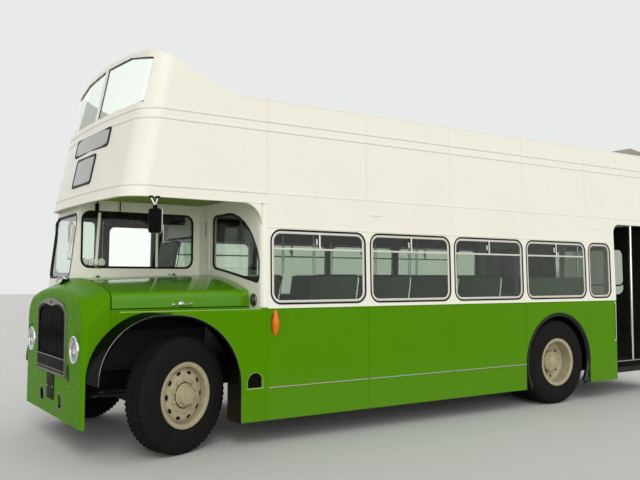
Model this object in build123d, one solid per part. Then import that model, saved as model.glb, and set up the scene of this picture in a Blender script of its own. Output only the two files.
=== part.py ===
from build123d import *
import os

os.makedirs("parts", exist_ok=True)

# A half-cab double deck bus with an open top deck, an open rear platform and a bonnet beside the cab.
# Frame: +X forwards, +Y to the nearside, +Z up, origin on the ground under the middle of the body.
# All sizes are in millimetres.

# Overall body
LENGTH = 8230
WIDTH = 2438
WHEELBASE = 4978
NOSE_OVERHANG = 745
HALF = WIDTH / 2
REAR_X = -LENGTH / 2
AXLE_F = LENGTH / 2 - NOSE_OVERHANG
AXLE_R = AXLE_F - WHEELBASE
NOSE_X = AXLE_F + NOSE_OVERHANG

# Heights of the body above the ground
SKIRT_Z = 221
RAIL_BEAD_Z = 516
WAIST_Z = 1240
SILL_Z = 1287
HEAD_Z = 1966
EAVE_Z = 1996
CANOPY_Z = 2211
DECK_Z = 2327
BAND_LOW_Z = 2910
BAND_TOP_Z = 2996
TOP_Z = 3205

# Walls, floors and mouldings
TUMBLE = 0.025
SKIN = 26
FLOOR_T = 36
GLASS_T = 6
GLASS_SET = 10
GLASS_FIT = 0.3
FRAME_EDGE = 13
FRAME_SET = 4
FRAME_DEEP = 18
BAR_W = 16
BEAD_OUT = 5
BEAD_TALL = 22
BEAD_FLAT = 10

# Saloon bays and windows
FIRST_JOINT = AXLE_F - 880
BAY = 1168
BAYS = 4
LAST_JOINT = FIRST_JOINT - BAYS * BAY
LAST_BAY = 548
PLATFORM_EDGE = LAST_JOINT - LAST_BAY
WINDOW_MARGIN = 40
LAST_WINDOW_LONG = 428
WINDOW_R = 100
VENT_Z = 1788

# Raked and bowed front of the upper deck
FRONT_DECK_X = AXLE_F + 518
FRONT_RAKE = 0.2
FRONT_BOW = 69
FRONT_CORNER_R = 216
CANOPY_ARC_R = 190

# Front screens and their side gussets
SCREEN_LOW_Z = 3050
SCREEN_CORNER_Z = 3503
SCREEN_SHOULDER_Z = 3590
SCREEN_MID_Z = 3610
SCREEN_SHOULDER_Y = 620
SCREEN_EDGE = 46
SCREEN_PILLAR = 66
SCREEN_WIDE = 1070
GUSSET_FRONT_X = AXLE_F + 165
GUSSET_KNEE_X = AXLE_F - 340
GUSSET_KNEE_Z = 3283
GUSSET_REAR_X = AXLE_F - 590

# Destination boxes: low y, high y, low z, high z
SIGN_BOXES = [
    (-480, 520, 2735, 2905),
    (-316, 261, 2406, 2683),
]
SIGN_R = 30
SIGN_OUT = 6

# Rear of the body
REAR_BOW = 45
REAR_CORNER_R = 210
REAR_RAKE = 0.03
REAR_TOP_Z = 3450
REAR_TOP_HALF = 640
REAR_SHOULDER_Y = 1020
REAR_WINDOW = (-820, 420)
DOORWAY_R = 120
DOORWAY_TOP_Z = 2237
DOORWAY_FRONT = 24
DOORWAY_IN_Y = 940

# Bulkhead behind the bonnet and the driver
BULKHEAD_X = AXLE_F - 815
BULKHEAD_T = 36
BULKHEAD_CORNER_R = 55
CAB_REAR_WINDOW = (-1060, -280, 1330, 1960)
CAB_WINDOW_R = 80
QUADRANT_R = 60

# Outline of the quadrant window of the bulkhead: name, y, z
QUADRANT = [
    ("low cab", 192, 1625),
    ("high cab", 192, 2152),
    ("arc start", 400, 2152),
    ("arc middle", 930, 2005),
    ("arc end", 1153, 1690),
    ("low side", 1153, 1478),
    ("sill middle", 700, 1553),
]

# Driver's cab
CAB_NEAR_Y = -150
CAB_LOW_Z = 1250
CAB_FRONT_X = AXLE_F + 575
CAB_RAKE = 0.11
CAB_SWEEP = 60
CAB_CORNER_R = 110
CAB_WALL = 32
CAB_FLOOR_Z = 1070
CAB_FLOOR_FRONT = AXLE_F + 520
WINDSCREEN = (-1120, -200, 1520, 2150)
CAB_SIDE_WINDOW = (AXLE_F - 731, AXLE_F + 440, 1623, 2171)
CAB_QUARTER = (AXLE_F - 20, AXLE_F + 410, 1560, 2150)
QUARTER_R = 60

# Cab door on the offside
DOOR_FRONT_X = AXLE_F - 90
DOOR_REAR_X = AXLE_F - 760
DOOR_LOW_Z = 1286
DOOR_TOP_Z = 2174
DOOR_GAP = 9
DOOR_R = 60
DOOR_WINDOW_EDGE = 75
DOOR_WINDOW_LOW_Z = 1560
DOOR_HINGES = (1400, 2020)

# Hinges of the cab door and the bonnet
HINGE_OUT = 14
HINGE_R = 11
HINGE_PIN_R = 6
HINGE_LONG = 30
HINGE_RUN = 0.06
HINGE_BLOCK_GAP = 1
HINGE_BLOCK_HALF = 5

# Nose, bonnet and grille
NOSE_LOW_Z = 255
NOSE_SKIN = 22
NOSE_EDGE_R = 60
NOSE_IN_Y = 640
NOSE_RETURN_X = AXLE_F + 680
HOOD_FRONT_X = AXLE_F + 525
HOOD_SKIN = 20
HOOD_GAP = 6
HOOD_FRONT_GAP = 12
LID_HINGES = (AXLE_F + 300, AXLE_F - 500)
LID_HINGE_UP = 12
GRILLE_HALF = 480
GRILLE_LOW_Z = 640
GRILLE_MESH_Z = 795
GRILLE_TOP_Z = 1323
GRILLE_ARCH = 70
GRILLE_R = 130
GRILLE_RIM = 44
GRILLE_BAR_Z = 1060
GRILLE_OUT = 10
GRILLE_SLATS = 25
SLAT_T = 6
HEADLAMP_Y = 733
HEADLAMP_Z = 903
HEADLAMP_R = 122
HEADLAMP_LIP = 10
TOW_HOLE_R = 62
PLATE_HALF = 112
PLATE_LOW_Z = 400
PLATE_T = 8

# Sections of the nose and bonnet: x, half width, crown height, shoulder height, shoulder radius
NOSE_FRONT = (NOSE_X, 945, 1415, 1285, 300)
HOOD_FRONT = (HOOD_FRONT_X, 985, 1515, 1382, 75)
HOOD_REAR = (BULKHEAD_X, 976, 1553, 1400, 70)

# Ledge beside the bonnet and the panel below the lid
LEDGE_Z = 1236
LEDGE_FRONT_X = AXLE_F + 180
LEDGE_TAPER = 130
LEDGE_R = 22
LID_PANEL_LOW_Z = 1053

# Opening behind the front wheel
STEP_HOLE_X = AXLE_F - 750
STEP_HOLE_R = 80
STEP_HOLE_LOW_Z = RAIL_BEAD_Z + 5
STEP_HOLE_MID_Z = STEP_HOLE_LOW_Z + 60

# Wings and wheel arches: the front arc is fuller than the rear one
WING_X = AXLE_F + 40
WING_Z = 553
WING_R = 650
WING_FULL = 105
WING_RISE = 22
WING_T = 8
WING_LIP = 24
WING_LIP_T = 12
WING_IN_Y = 957
WING_TIP_Z = 640
WING_FIT = 0.3
REAR_ARCH_R = 591
REAR_ARCH_Z = 516
ARCH_LIP = 22
FLAP_LOW_Z = 215

# Wheels and tyres
TYRE_R = 505
TYRE_W = 250
BEAD_R = 262
RIM_R = 286
RIM_HALF = 107
RIM_T = 14
WHEEL_OFFSET = 165
KINGPIN_Y = 905
STEER_REST = 20
TWIN_OUT_Y = 1072
TWIN_SPACING = 292
HAND_HOLES = 10
HAND_HOLE_R = 17
HAND_HOLE_AT = 196
FRONT_HUB_R = 78
REAR_HUB_R = 112
STUB_R = 42
STUB_LONG = 250
RUN = 0.05

# Faces of the wheel discs: radius, y
FRONT_DISC = [(0, 92), (150, 92), (206, 80), (252, 50)]
REAR_DISC = [(0, -62), (150, -62), (206, -44), (252, -20)]

# Lamps
EAR_X = AXLE_F - 955
EAR_HALF = 40
EAR_LOW_Z = 985
EAR_OUT = 45
EAR_R = 28

# Mirrors
MIRROR_X = AXLE_F + 233
MIRROR_Z = (1900, 2110)
MIRROR_T = 34
MIRROR_W = 120
MIRROR_TURN = 36
MIRROR_BAR = 16
MIRROR_ARM_Z = 2134

# Axles
PIN_R = 24
PIN_HALF = 96
EYE_R = 50
EYE_HALF = 56
KNUCKLE_HALF = 45
BEAM_Z = 370
BEAM_TALL = 100
BEAM_W = 90
BEAM_DROP_Y = 610
BEAM_ARM_HALF = 40
BEAM_ARM_OVERLAP = 30
AXLE_TUBE_R = 80
AXLE_PAD = 6
DIFF_R = 150

# Springs
LEAF_T = 14
LEAF_W = 76
LEAF_SHARES = (1.0, 0.74, 0.48)
SPRING_FIT = 0.3
SPRING_EYE_R = 24
SPRING_PIN_R = 12
PACK_T = len(LEAF_SHARES) * LEAF_T

# Springs: centre x, half length, height of the underside in the middle, rise of the ends
FRONT_SPRING = (AXLE_F, 540, BEAM_Z + BEAM_TALL / 2, 4)
REAR_SPRING = (AXLE_R, 620, TYRE_R - AXLE_TUBE_R - AXLE_PAD - PACK_T - SPRING_FIT, 46)

# Ladder frame
FRAME_Y = 430
FRAME_W = 80
FRAME_WALL = 12
FRAME_LOW_Z = 500
SALOON_FLOOR_Z = 700
FRAME_TOP_Z = SALOON_FLOOR_Z - FLOOR_T
FRAME_FRONT = AXLE_F + 640
CROSS_TALL = 50
CROSS_W = 80
HANGER_T = 12
HANGER_W = 90
ARM_TALL = 60
TOW_Y = 300
TOW_Z = 411
TOW_OUT = 34
TOW_T = 25
TOW_R = 18
TOW_EDGE = 38
TOW_LUG_LONG = 100

# Platform, stairs and rails
PLATFORM_Z = 371
PLATFORM_T = 75
RISERS = 9
FIRST_FLIGHT = 3
STEP_T = 36
RISER_T = 20
STAIR_WIDE = 600
STAIR_IN_Y = -560
STAIR_FIRST_Y = 100
STAIR_GOING = 200
STAIR_REAR_X = REAR_X + 90
POLE_X = AXLE_F - 6563
POLE_IN = 72
POLE_R = 17
PARTITION_IN_Y = 360
PARTITION_POST = 90
PARTITION_T = 30
PARTITION_R = 60

# Seats
SEAT_TALL = 860
CUSHION_Z = 440
CUSHION_T = 100
SEAT_DEEP = 420
SEAT_LEAN = 70
BACK_T = 55
BACK_DROP = 10
SEAT_LEG = 30
LOWER_FIRST_ROW = 560
LOWER_ROWS = 4
LOWER_PITCH = 690
UPPER_FIRST_ROW = 960
UPPER_ROWS = 8
UPPER_PITCH = 715
AISLE_HALF = 300
SEAT_WALL_GAP = 4
WHEEL_BOX_Z = 1090
WHEEL_BOX_HALF = 625
WHEEL_BOX_IN_Y = 600
WHEEL_BOX_T = 25
BENCH_T = 70
BENCH_TALL = 460

# Drive line and tank: low x, high x, low y, high y, low z, high z
ENGINE = (AXLE_F - 640, AXLE_F + 420, -140, 380, 560, 1190)
GEARBOX = (AXLE_F - 1250, AXLE_F - 640, -210, 210, 470, 655)
TANK = (AXLE_F - 3300, AXLE_F - 2100, -1000, -FRAME_Y - FRAME_W / 2, 330, 650)
SHAFT_R = 45
BEARER_IN = 120
BEARER_HALF = 35
BEARER_CLEAR = 10

# Steering wheel and its column
STEERING_FOOT = (AXLE_F + 330, -640)
STEERING_BACK = 210
STEERING_RISE = 560
STEERING_R = 235
STEERING_RIM_R = 14
STEERING_COLUMN_R = 24
STEERING_HUB_R = 48
STEERING_SPOKE = (26, 12)


def block(x0, x1, y0, y1, z0, z1):
    """A box between two corners."""
    box = Box(abs(x1 - x0), abs(y1 - y0), abs(z1 - z0))
    return Pos((x0 + x1) / 2, (y0 + y1) / 2, (z0 + z1) / 2) * box


def prism_x(points, x0, x1):
    """A (y, z) outline pushed along X."""
    face = make_face(Polyline(*[(x0, y, z) for y, z in points], close=True))
    return extrude(face, amount=x1 - x0, dir=(1, 0, 0))


def prism_y(points, y0, y1):
    """An (x, z) outline pushed along Y."""
    face = make_face(Polyline(*[(x, y0, z) for x, z in points], close=True))
    return extrude(face, amount=y1 - y0, dir=(0, 1, 0))


def prism_z(points, z0, z1):
    """An (x, y) outline pushed along Z."""
    face = make_face(Polyline(*[(x, y, z0) for x, y in points], close=True))
    return extrude(face, amount=z1 - z0, dir=(0, 0, 1))


def drum_x(y, z, r, x0, x1):
    """A cylinder along X."""
    return Pos((x0 + x1) / 2, y, z) * Rot(0, 90, 0) * Cylinder(r, abs(x1 - x0))


def drum_y(x, z, r, y0, y1):
    """A cylinder along Y."""
    return Pos(x, (y0 + y1) / 2, z) * Rot(90, 0, 0) * Cylinder(r, abs(y1 - y0))


def drum_z(x, y, r, z0, z1):
    """A cylinder along Z."""
    return Pos(x, y, (z0 + z1) / 2) * Cylinder(r, abs(z1 - z0))


def rod(p, q, r):
    """A round bar between two points."""
    start = Vector(*p)
    run = Vector(*q) - start
    return Plane(origin=start, z_dir=run) * Pos(0, 0, run.length / 2) * Cylinder(r, run.length)


def pane_x(y0, y1, z0, z1, r, x0, x1):
    """A round-cornered plate that faces X."""
    outline = Pos((y0 + y1) / 2, (z0 + z1) / 2) * RectangleRounded(abs(y1 - y0), z1 - z0, r)
    return extrude(Plane.YZ.offset(x0) * outline, amount=x1 - x0)


def pane_y(x0, x1, z0, z1, r, y0, y1):
    """A round-cornered plate that faces Y."""
    outline = Pos((x0 + x1) / 2, (z0 + z1) / 2) * RectangleRounded(abs(x1 - x0), z1 - z0, r)
    return extrude(Plane.XZ.offset(-y0) * outline, amount=-(y1 - y0))


def other_side(shape):
    """The same piece on the offside."""
    return mirror(shape, about=Plane.XZ)


def both_sides(shapes):
    """Pieces of the nearside with their twins on the offside."""
    return Compound(children=shapes + [other_side(s) for s in shapes])


def joined(shapes):
    """Several shapes as one solid."""
    whole = shapes[0]
    for shape in shapes[1:]:
        whole += shape
    return whole


def sided(sign, y0, y1):
    """Two distances from the middle as a low and a high y on the side of sign."""
    return sorted((sign * y0, sign * y1))


def side_y(z):
    """Half width of the body at a height, with the tumblehome above the waist."""
    return HALF - TUMBLE * max(0, z - WAIST_Z)


def front_x(z):
    """Foremost place of the raked upper front at a height."""
    return FRONT_DECK_X - FRONT_RAKE * (z - DECK_Z)


def rear_x(z):
    """Rearmost place of the body at a height."""
    return REAR_X + REAR_RAKE * max(0, z - WAIST_Z)


def stages(z0, z1):
    """Heights at which the wall between z0 and z1 changes slope."""
    if z0 < WAIST_Z < z1:
        return [z0, WAIST_Z, z1]
    return [z0, z1]


def side_slab(x0, x1, z0, z1, outer, inner):
    """Nearside layer that follows the tumblehome, between two insets from the skin."""
    heights = stages(z0, z1)
    out = [(side_y(z) - outer, z) for z in heights]
    back = [(side_y(z) - inner, z) for z in reversed(heights)]
    return prism_x(out + back, x0, x1)


def body_block(x0, x1, z0, z1, inset):
    """Full width of the body between two heights, inset from the skin."""
    heights = stages(z0, z1)
    near = [(side_y(z) - inset, z) for z in heights]
    off = [(inset - side_y(z), z) for z in reversed(heights)]
    return prism_x(near + off, x0, x1)


def bead(x0, x1, z):
    """A raised moulding along the nearside wall."""
    low = z - BEAD_TALL / 2
    high = z + BEAD_TALL / 2
    crest = side_y(z) + BEAD_OUT
    back = side_y(high) - SKIN / 2
    points = [(back, low), (side_y(low), low), (crest, z - BEAD_FLAT / 2), (crest, z + BEAD_FLAT / 2),
              (side_y(high), high), (back, high)]
    return prism_x(points, x0, x1)


def bowed_plan(z, tip_x, edge_x, flat_x, half_y, corner_r):
    """Plan with a bowed end from tip_x to edge_x, square at flat_x."""
    sides = Polyline((edge_x, -half_y, z), (flat_x, -half_y, z), (flat_x, half_y, z), (edge_x, half_y, z))
    bow = ThreePointArc((edge_x, half_y, z), (tip_x, 0, z), (edge_x, -half_y, z))
    face = make_face([sides, bow])
    along = face.vertices().sort_by(Axis.X)
    corners = along[-2:] if tip_x > flat_x else along[:2]
    return fillet(corners, corner_r)


def front_solid(z0, z1, inset, flat_x):
    """The full upper front between two heights."""
    plans = []
    for z in (z0, z1):
        tip = front_x(z) - inset
        plans.append(bowed_plan(z, tip, tip - FRONT_BOW, flat_x, side_y(z) - inset, FRONT_CORNER_R - inset))
    return loft(plans, ruled=True)


def front_shell(z0, z1, outer, inner, flat_x):
    """A layer of the upper front between two insets, open at the back."""
    return front_solid(z0, z1, outer, flat_x) - front_solid(z0, z1, inner, flat_x - 50)


def rear_solid(z0, z1, inset, flat_x):
    """The full rear of the body between two heights."""
    plans = []
    for z in stages(z0, z1):
        tip = rear_x(z) + inset
        plans.append(bowed_plan(z, tip, tip + REAR_BOW, flat_x, side_y(z) - inset, REAR_CORNER_R - inset))
    return loft(plans, ruled=True)


def rear_shell(z0, z1, outer, inner, flat_x):
    """A layer of the rear between two insets, open at the front."""
    return rear_solid(z0, z1, outer, flat_x) - rear_solid(z0, z1, inner, flat_x + 50)


def hood_face(section, inset):
    """Section of the nose or bonnet: upright sides, round shoulders and a crowned top."""
    x, half, crown, shoulder, radius = section
    half -= inset
    base = Polyline((x, half, shoulder - inset), (x, half, NOSE_LOW_Z), (x, -half, NOSE_LOW_Z),
                    (x, -half, shoulder - inset))
    top = ThreePointArc((x, -half, shoulder - inset), (x, 0, crown - inset), (x, half, shoulder - inset))
    face = make_face([base, top])
    return fillet(face.vertices().sort_by(Axis.Z)[-2:], radius - inset)


def cab_plan(z, inset):
    """Plan of the cab at a height."""
    y_out = inset - side_y(z)
    y_in = CAB_NEAR_Y - inset
    tip = CAB_FRONT_X - CAB_RAKE * (z - CAB_LOW_Z) - inset
    face = make_face(Polyline((BULKHEAD_X, y_in, z), (tip, y_in, z), (tip - CAB_SWEEP, y_out, z),
                              (BULKHEAD_X, y_out, z), close=True))
    corner = [v for v in face.vertices() if v.Y < y_in - 1 and v.X > BULKHEAD_X + 1]
    return fillet(corner, CAB_CORNER_R - inset)


def cab_solid(inset):
    """The cab's form up to the floor of the upper deck."""
    return loft([cab_plan(CAB_LOW_Z, inset), cab_plan(DECK_Z - FLOOR_T, inset)], ruled=True)


def arch_cut(x, z, r, y0, y1):
    """Space for a wheel arch, open to the ground."""
    return drum_y(x, z, r, y0, y1) + block(x - r, x + r, y0, y1, 0, z)


def wing_outline(y, grow):
    """Side outline of the front wing at y, larger by grow, open to the ground."""
    rise = WING_RISE * min(1, (HALF - y) / (HALF - WING_IN_Y))
    r = WING_R + rise + grow
    front_r = r - WING_FULL
    x = WING_X + WING_FULL
    z = WING_Z + WING_FULL
    bend = 0.5 ** 0.5
    rear = ThreePointArc((WING_X - r, y, WING_Z), (WING_X - r * bend, y, WING_Z + r * bend), (WING_X, y, WING_Z + r))
    front = ThreePointArc((x, y, z + front_r), (x + front_r * bend, y, z + front_r * bend), (x + front_r, y, z))
    crest = Line((WING_X, y, WING_Z + r), (x, y, z + front_r))
    base = Polyline((x + front_r, y, z), (x + front_r, y, 0), (WING_X - r, y, 0), (WING_X - r, y, WING_Z))
    return make_face([rear, crest, front, base])


def wing_space(grow, y0, y1):
    """Space inside the front wing between two distances from the middle, larger by grow."""
    return loft([wing_outline(y0, grow), wing_outline(y1, grow)], ruled=True)


# Windows of the nearside: front edge, rear edge
WINDOWS = []
for bay in range(BAYS):
    joint_x = FIRST_JOINT - bay * BAY
    WINDOWS.append((joint_x - WINDOW_MARGIN, joint_x - BAY + WINDOW_MARGIN))
WINDOWS.append((LAST_JOINT - WINDOW_MARGIN, LAST_JOINT - WINDOW_MARGIN - LAST_WINDOW_LONG))

# Reach of a cut through the nearside or the offside wall
NEAR_CUT = (HALF - 200, HALF + 50)
OFF_CUT = (-HALF - 50, 200 - HALF)


def leaf(x, long, rise, z):
    """One leaf, curved up to its ends."""
    x0 = x - long
    x1 = x + long
    low = ThreePointArc((x0, 0, z + rise), (x, 0, z), (x1, 0, z + rise))
    high = ThreePointArc((x0, 0, z + rise + LEAF_T), (x, 0, z + LEAF_T), (x1, 0, z + rise + LEAF_T))
    ends = [Line((end, 0, z + rise), (end, 0, z + rise + LEAF_T)) for end in (x0, x1)]
    return extrude(make_face([low, high] + ends), amount=LEAF_W / 2, dir=(0, 1, 0), both=True)


def eye_height(spring):
    """Height of the eyes of a spring."""
    return spring[2] + PACK_T - LEAF_T / 2 + spring[3]


def leaf_spring(spring):
    """A pack of leaves on the nearside, with an eye at each end of the top leaf."""
    x, half, low_z, rise = spring
    leaves = []
    for i, share in enumerate(LEAF_SHARES):
        leaves.append(leaf(x, half * share, rise * share * share, low_z + PACK_T - (i + 1) * LEAF_T))
    pack = joined(leaves)
    eye_z = eye_height(spring)
    for end in (x - half, x + half):
        pack += drum_y(end, eye_z, SPRING_EYE_R, -LEAF_W / 2, LEAF_W / 2)
        pack -= drum_y(end, eye_z, SPRING_PIN_R + RUN, -LEAF_W, LEAF_W)
    return Pos(0, FRAME_Y, 0) * pack


def spring_hanger(x, eye_z):
    """Two cheeks and a pin below the nearside rail that hold a spring's eye."""
    half = LEAF_W / 2 + HANGER_T
    pieces = [drum_y(x, eye_z, SPRING_PIN_R, FRAME_Y - half, FRAME_Y + half)]
    outline = [(x - HANGER_W / 2, FRAME_LOW_Z), (x - SPRING_EYE_R, eye_z - SPRING_EYE_R),
               (x + SPRING_EYE_R, eye_z - SPRING_EYE_R), (x + HANGER_W / 2, FRAME_LOW_Z)]
    for sign in (-1, 1):
        low_y, high_y = sided(sign, LEAF_W / 2 + 1, half)
        pieces.append(prism_y(outline, FRAME_Y + low_y, FRAME_Y + high_y))
    pieces.append(block(x - HANGER_W / 2, x + HANGER_W / 2, FRAME_Y - half, FRAME_Y + half,
                        FRAME_LOW_Z - FRAME_WALL, FRAME_LOW_Z))
    return joined(pieces)


def frame_rail():
    """Nearside rail: a channel arched over the rear axle, with a low arm to the platform."""
    low_y = FRAME_Y - FRAME_W / 2
    high_y = FRAME_Y + FRAME_W / 2
    rail = block(PLATFORM_EDGE, FRAME_FRONT, low_y, high_y, FRAME_LOW_Z, FRAME_TOP_Z)
    rail -= block(PLATFORM_EDGE - 1, FRAME_FRONT + 1, low_y - 1, high_y - FRAME_WALL, FRAME_LOW_Z + FRAME_WALL,
                  FRAME_TOP_Z - FRAME_WALL)
    rail -= drum_y(AXLE_R, TYRE_R, AXLE_TUBE_R + 30, low_y - 5, high_y + 5)
    under = PLATFORM_Z - PLATFORM_T
    arm = [(PLATFORM_EDGE + 420, FRAME_LOW_Z + FRAME_WALL), (PLATFORM_EDGE + 200, under - ARM_TALL),
           (REAR_X + 250, under - ARM_TALL), (REAR_X + 250, under), (PLATFORM_EDGE + 90, under),
           (PLATFORM_EDGE + 90, FRAME_LOW_Z + FRAME_WALL)]
    rail += prism_y(arm, low_y, high_y)
    for spring in (FRONT_SPRING, REAR_SPRING):
        for end in (spring[0] - spring[1], spring[0] + spring[1]):
            rail += spring_hanger(end, eye_height(spring))
    return rail


def towing_lug():
    """Nearside towing eye on the front cross member, behind the hole in the nose."""
    eye_x = FRAME_FRONT + TOW_OUT
    back = FRAME_FRONT - TOW_LUG_LONG
    outline = [(back, FRAME_TOP_Z), (FRAME_FRONT, FRAME_TOP_Z), (eye_x + TOW_EDGE, TOW_Z + TOW_EDGE),
               (eye_x + TOW_EDGE, TOW_Z - TOW_EDGE), (eye_x - TOW_EDGE, TOW_Z - TOW_EDGE),
               (back, FRAME_TOP_Z - CROSS_TALL)]
    lug = prism_y(outline, TOW_Y - TOW_T / 2, TOW_Y + TOW_T / 2)
    return lug - drum_y(eye_x, TOW_Z, TOW_R, TOW_Y - TOW_T, TOW_Y + TOW_T)


def chassis_frame():
    """Ladder frame with cross members, spring hangers and towing eyes."""
    pieces = [frame_rail(), other_side(frame_rail())]
    members = (FRAME_FRONT - 60, AXLE_F - 1350, AXLE_F - 2400, AXLE_R + 700, AXLE_R - 600, PLATFORM_EDGE + 60)
    for x in members:
        pieces.append(block(x - CROSS_W / 2, x + CROSS_W / 2, -FRAME_Y, FRAME_Y, FRAME_TOP_Z - CROSS_TALL, FRAME_TOP_Z))
    pieces += [towing_lug(), other_side(towing_lug())]
    return joined(pieces)


def front_axle_beam():
    """Dropped beam with an eye for each kingpin."""
    low = BEAM_Z - BEAM_TALL / 2
    high = BEAM_Z + BEAM_TALL / 2
    pieces = [block(AXLE_F - BEAM_W / 2, AXLE_F + BEAM_W / 2, -BEAM_DROP_Y, BEAM_DROP_Y, low, high)]
    reach = KINGPIN_Y - EYE_R + 6
    for sign in (-1, 1):
        root = BEAM_DROP_Y - BEAM_ARM_OVERLAP
        arm = [(sign * root, low), (sign * root, high), (sign * reach, TYRE_R + BEAM_W / 2),
               (sign * reach, TYRE_R - BEAM_W / 2)]
        pieces.append(prism_x(arm, AXLE_F - BEAM_ARM_HALF, AXLE_F + BEAM_ARM_HALF))
        pieces.append(drum_z(AXLE_F, sign * KINGPIN_Y, EYE_R, TYRE_R - EYE_HALF, TYRE_R + EYE_HALF))
    beam = joined(pieces)
    for sign in (-1, 1):
        beam -= drum_z(AXLE_F, sign * KINGPIN_Y, PIN_R + RUN, TYRE_R - PIN_HALF, TYRE_R + PIN_HALF)
    return beam


def rear_axle():
    """Axle casing with its differential, spring pads and wheel spindles."""
    pieces = [drum_y(AXLE_R, TYRE_R, AXLE_TUBE_R, -600, 600), Pos(AXLE_R, 0, TYRE_R) * Sphere(DIFF_R)]
    pad_z = TYRE_R - AXLE_TUBE_R - AXLE_PAD
    for sign in (-1, 1):
        low_y, high_y = sided(sign, 590, TWIN_OUT_Y - 40)
        pieces.append(drum_y(AXLE_R, TYRE_R, STUB_R, low_y, high_y))
        low_y, high_y = sided(sign, FRAME_Y - LEAF_W / 2, FRAME_Y + LEAF_W / 2)
        pieces.append(block(AXLE_R - 40, AXLE_R + 40, low_y, high_y, pad_z, TYRE_R))
    return joined(pieces)


def engine_block():
    """The engine as one plain block on two bearers that rest in the rails."""
    x0, x1, y0, y1, z0, z1 = ENGINE
    pieces = [block(x0, x1, y0, y1, z0, z1)]
    rest_z = FRAME_LOW_Z + FRAME_WALL
    reach = FRAME_Y - BEARER_CLEAR
    for x in (x0 + BEARER_IN, x1 - BEARER_IN):
        pieces.append(block(x - BEARER_HALF, x + BEARER_HALF, -reach, reach, rest_z, z0 + BEARER_CLEAR))
    return joined(pieces)


def gearbox_and_shaft():
    """Gearbox behind the engine and the shaft back to the rear axle."""
    x0, x1, y0, y1, z0, z1 = GEARBOX
    box = block(x0, x1, y0, y1, z0, z1)
    return box + rod((x0 + 5, 0, (z0 + z1) / 2), (AXLE_R + DIFF_R + GLASS_FIT, 0, TYRE_R), SHAFT_R)


def tyre():
    """A tyre round the Y axis with its middle at the origin."""
    half = TYRE_W / 2
    right = [(BEAD_R, RIM_HALF - 7), (RIM_R, RIM_HALF), (RIM_R + 60, half), (TYRE_R - 80, half),
             (TYRE_R - 22, half - 26), (TYRE_R, half - 45)]
    left = [(r, -y) for r, y in reversed(right)]
    outline = Polyline(*[(r, y, 0) for r, y in right + left], close=True)
    return revolve(make_face(outline), Axis.Y)


def wheel(disc, hub_r, hub_in, hub_out, bore_end):
    """A rim with its pierced disc and bored hub, round the Y axis; disc holds radius and y of the outer face."""
    seat_r = BEAD_R - GLASS_FIT
    right = [(seat_r - RIM_T, RIM_HALF - 16), (seat_r - RIM_T, RIM_HALF + 2), (seat_r, RIM_HALF + RIM_T - 6),
             (RIM_R, RIM_HALF + RIM_T - 6), (RIM_R, RIM_HALF + GLASS_FIT), (seat_r, RIM_HALF - 7 + GLASS_FIT)]
    left = [(r, -y) for r, y in reversed(right)]
    ring_line = Polyline(*[(r, y, 0) for r, y in right[3:] + left[:3]], close=False)
    back_line = Polyline(*[(r, y, 0) for r, y in left[2:] + right[:4]], close=False)
    ring = revolve(make_face([ring_line, back_line]), Axis.Y)
    back = [(r, y - RIM_T) for r, y in reversed(disc)]
    disc_line = Polyline(*[(r, y, 0) for r, y in disc + back], close=True)
    plate = revolve(make_face(disc_line), Axis.Y)
    for i in range(HAND_HOLES):
        plate -= Rot(0, 360 / HAND_HOLES * i, 0) * Pos(HAND_HOLE_AT, 0, 0) * Rot(90, 0, 0) * Cylinder(HAND_HOLE_R, 400)
    whole = ring + plate + drum_y(0, 0, hub_r, hub_in, hub_out)
    return whole - drum_y(0, 0, STUB_R + RUN, hub_in - 1, bore_end)


def turned(piece, sign):
    """Turn a piece about its kingpin by the angle at rest."""
    return Pos(AXLE_F, sign * KINGPIN_Y, TYRE_R) * Rot(0, 0, STEER_REST) * piece


def knuckle(sign):
    """Kingpin, its fork and the stub axle."""
    pieces = [drum_z(0, 0, PIN_R, -PIN_HALF, PIN_HALF)]
    low_y, high_y = sided(sign, EYE_R + 6, EYE_R + 30)
    pieces.append(block(-KNUCKLE_HALF, KNUCKLE_HALF, low_y, high_y, -PIN_HALF, PIN_HALF))
    low_y, high_y = sided(sign, 0, EYE_R + 10)
    for level in (-1, 1):
        z0, z1 = sorted((level * (EYE_HALF + 2), level * PIN_HALF))
        pieces.append(drum_z(0, 0, EYE_R - 4, z0, z1))
        pieces.append(block(-KNUCKLE_HALF, KNUCKLE_HALF, low_y, high_y, z0, z1))
    low_y, high_y = sided(sign, EYE_R + 20, STUB_LONG)
    pieces.append(drum_y(0, 0, STUB_R, low_y, high_y))
    return turned(joined(pieces), sign)


def front_piece(shape, sign):
    """A front wheel or tyre on its stub, turned with it."""
    placed = Pos(0, WHEEL_OFFSET, 0) * shape
    if sign < 0:
        placed = other_side(placed)
    return turned(placed, sign)


def front_wheel(sign):
    """Front wheel with its hub."""
    hub_in = EYE_R + 36 - WHEEL_OFFSET
    return front_piece(wheel(FRONT_DISC, FRONT_HUB_R, hub_in, 138, STUB_LONG - WHEEL_OFFSET + 1), sign)


def rear_wheels(sign):
    """Twin rear wheels with their hub, as one piece."""
    inner_disc = [(r, -y) for r, y in REAR_DISC]
    outer = wheel(REAR_DISC, REAR_HUB_R, -TWIN_SPACING, 26, -40)
    inner = wheel([(r, y + RIM_T) for r, y in inner_disc], REAR_HUB_R, -60, 80, 81)
    pair = Pos(0, TWIN_OUT_Y, 0) * outer + Pos(0, TWIN_OUT_Y - TWIN_SPACING, 0) * inner
    pair -= drum_y(0, 0, STUB_R + RUN, TWIN_OUT_Y - TWIN_SPACING - 80, TWIN_OUT_Y - 39)
    if sign < 0:
        pair = other_side(pair)
    return Pos(AXLE_R, 0, TYRE_R) * pair


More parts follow.
